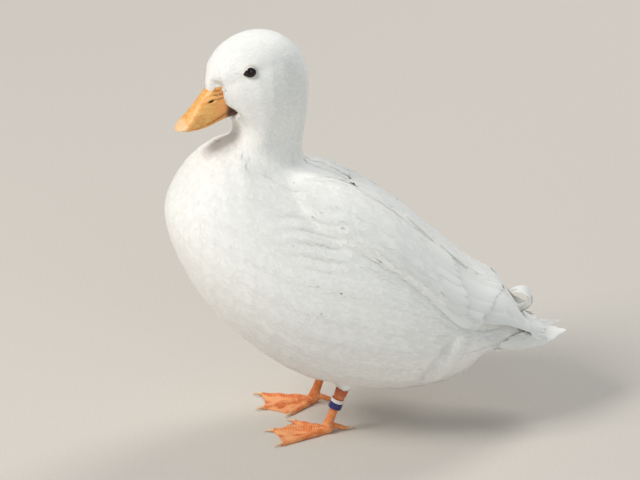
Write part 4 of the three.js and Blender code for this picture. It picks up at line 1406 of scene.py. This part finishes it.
starts, ends, ups = [], [], []
for sign in (-1, 1):
    for row, (from_y, to_y) in enumerate(((92, 121), (84, 114), (76, 107))):
        for place in np.linspace(0, 1, 4):
            starts.append((sign * 36, from_y - 2 * place + rng.normal(0, 0.8), 53 + 9 * place))
            end_x, end_y = sign * (21.5 - 2.0 * place + 1.0 * row), to_y - 4 * place
            ends.append((end_x, end_y, on_tail(end_x, end_y) + 1.9 + 2.0 * place))
            ups.append((sign * 0.65, 0.1, 0.5 + 0.5 * place))
starts, ends, ups = np.array(starts), np.array(ends), np.array(ups)
swept("side_tail_coverts", starts, ends, ups, half=4.4)

# ---------- curled tail feathers ----------
# The drake's curled feathers stand up over the tail: broad ribbons that bend forward into a hook. They are
# soft vanes on a shaft, as the others are, and root among the coverts in the tail's middle.

# lean, radius, bend, half width, twist
CURLS = [(-13, 4.6, 136, 4.6, 17), (2, 5.3, 142, 5.0, -20), (17, 4.9, 138, 4.8, -15)]
CURL_MIDDLE = (107.8, 76.6)
CURL_OPEN = 1.3  # how much wider each curl is at its tip
CURL_STATIONS = np.linspace(0, 1, 22)
CURL_STALK = (7, 6)  # how far ahead of the curl and below it its stalk starts
curl_centre, curl_up, curl_half = [], [], []
t = CURL_STATIONS
for lean, radius, bend, half, twist in CURLS:
    sweep = math.radians(bend + 90) * np.maximum(0, t - 0.15) / 0.85
    reach = radius * (1 + CURL_OPEN * t ** 4)
    out = np.stack([0 * t, np.sin(sweep), -np.cos(sweep)], 1)
    line = out * reach[:, None]
    line[:, 1] -= CURL_STALK[0] * np.maximum(0, 1 - t / 0.15)
    line[:, 2] += radius - CURL_STALK[1] * np.maximum(0, 1 - t / 0.15)
    tilt = math.radians(lean)
    spin = np.array([(math.cos(tilt), 0, math.sin(tilt)), (0, 1, 0), (-math.sin(tilt), 0, math.cos(tilt))])
    curl_centre.append((line @ spin.T + [0, CURL_MIDDLE[0], CURL_MIDDLE[1] - radius]) * MM)
    face = math.radians(twist) * smoothstep(t, 0.05, 0.3)[:, None]
    curl_up.append((-out * np.cos(face) + np.array([1, 0, 0]) * np.sin(face)) @ spin.T)
    curl_half.append(half * MM * np.minimum(1, t / 0.12 + 0.25) * (1 - np.clip((t - 0.4) / 0.6, 0, 1) ** 1.8))
curl_half = np.array(curl_half)
curl_half[:, [0, -1]] = 0
centre, up = np.array(curl_centre), np.array(curl_up)
side = unit(np.cross(unit(np.gradient(centre, axis=1)), up))
curls = joined_feathers(
    "curled_feathers", centre, up, side, curl_half, thick=0.6 * MM, camber=0.16, lanes=9,
)
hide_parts("tail_curls")

# ---------- size ----------
# The box round the finished pieces, all but the floor, is measured.

low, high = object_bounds()
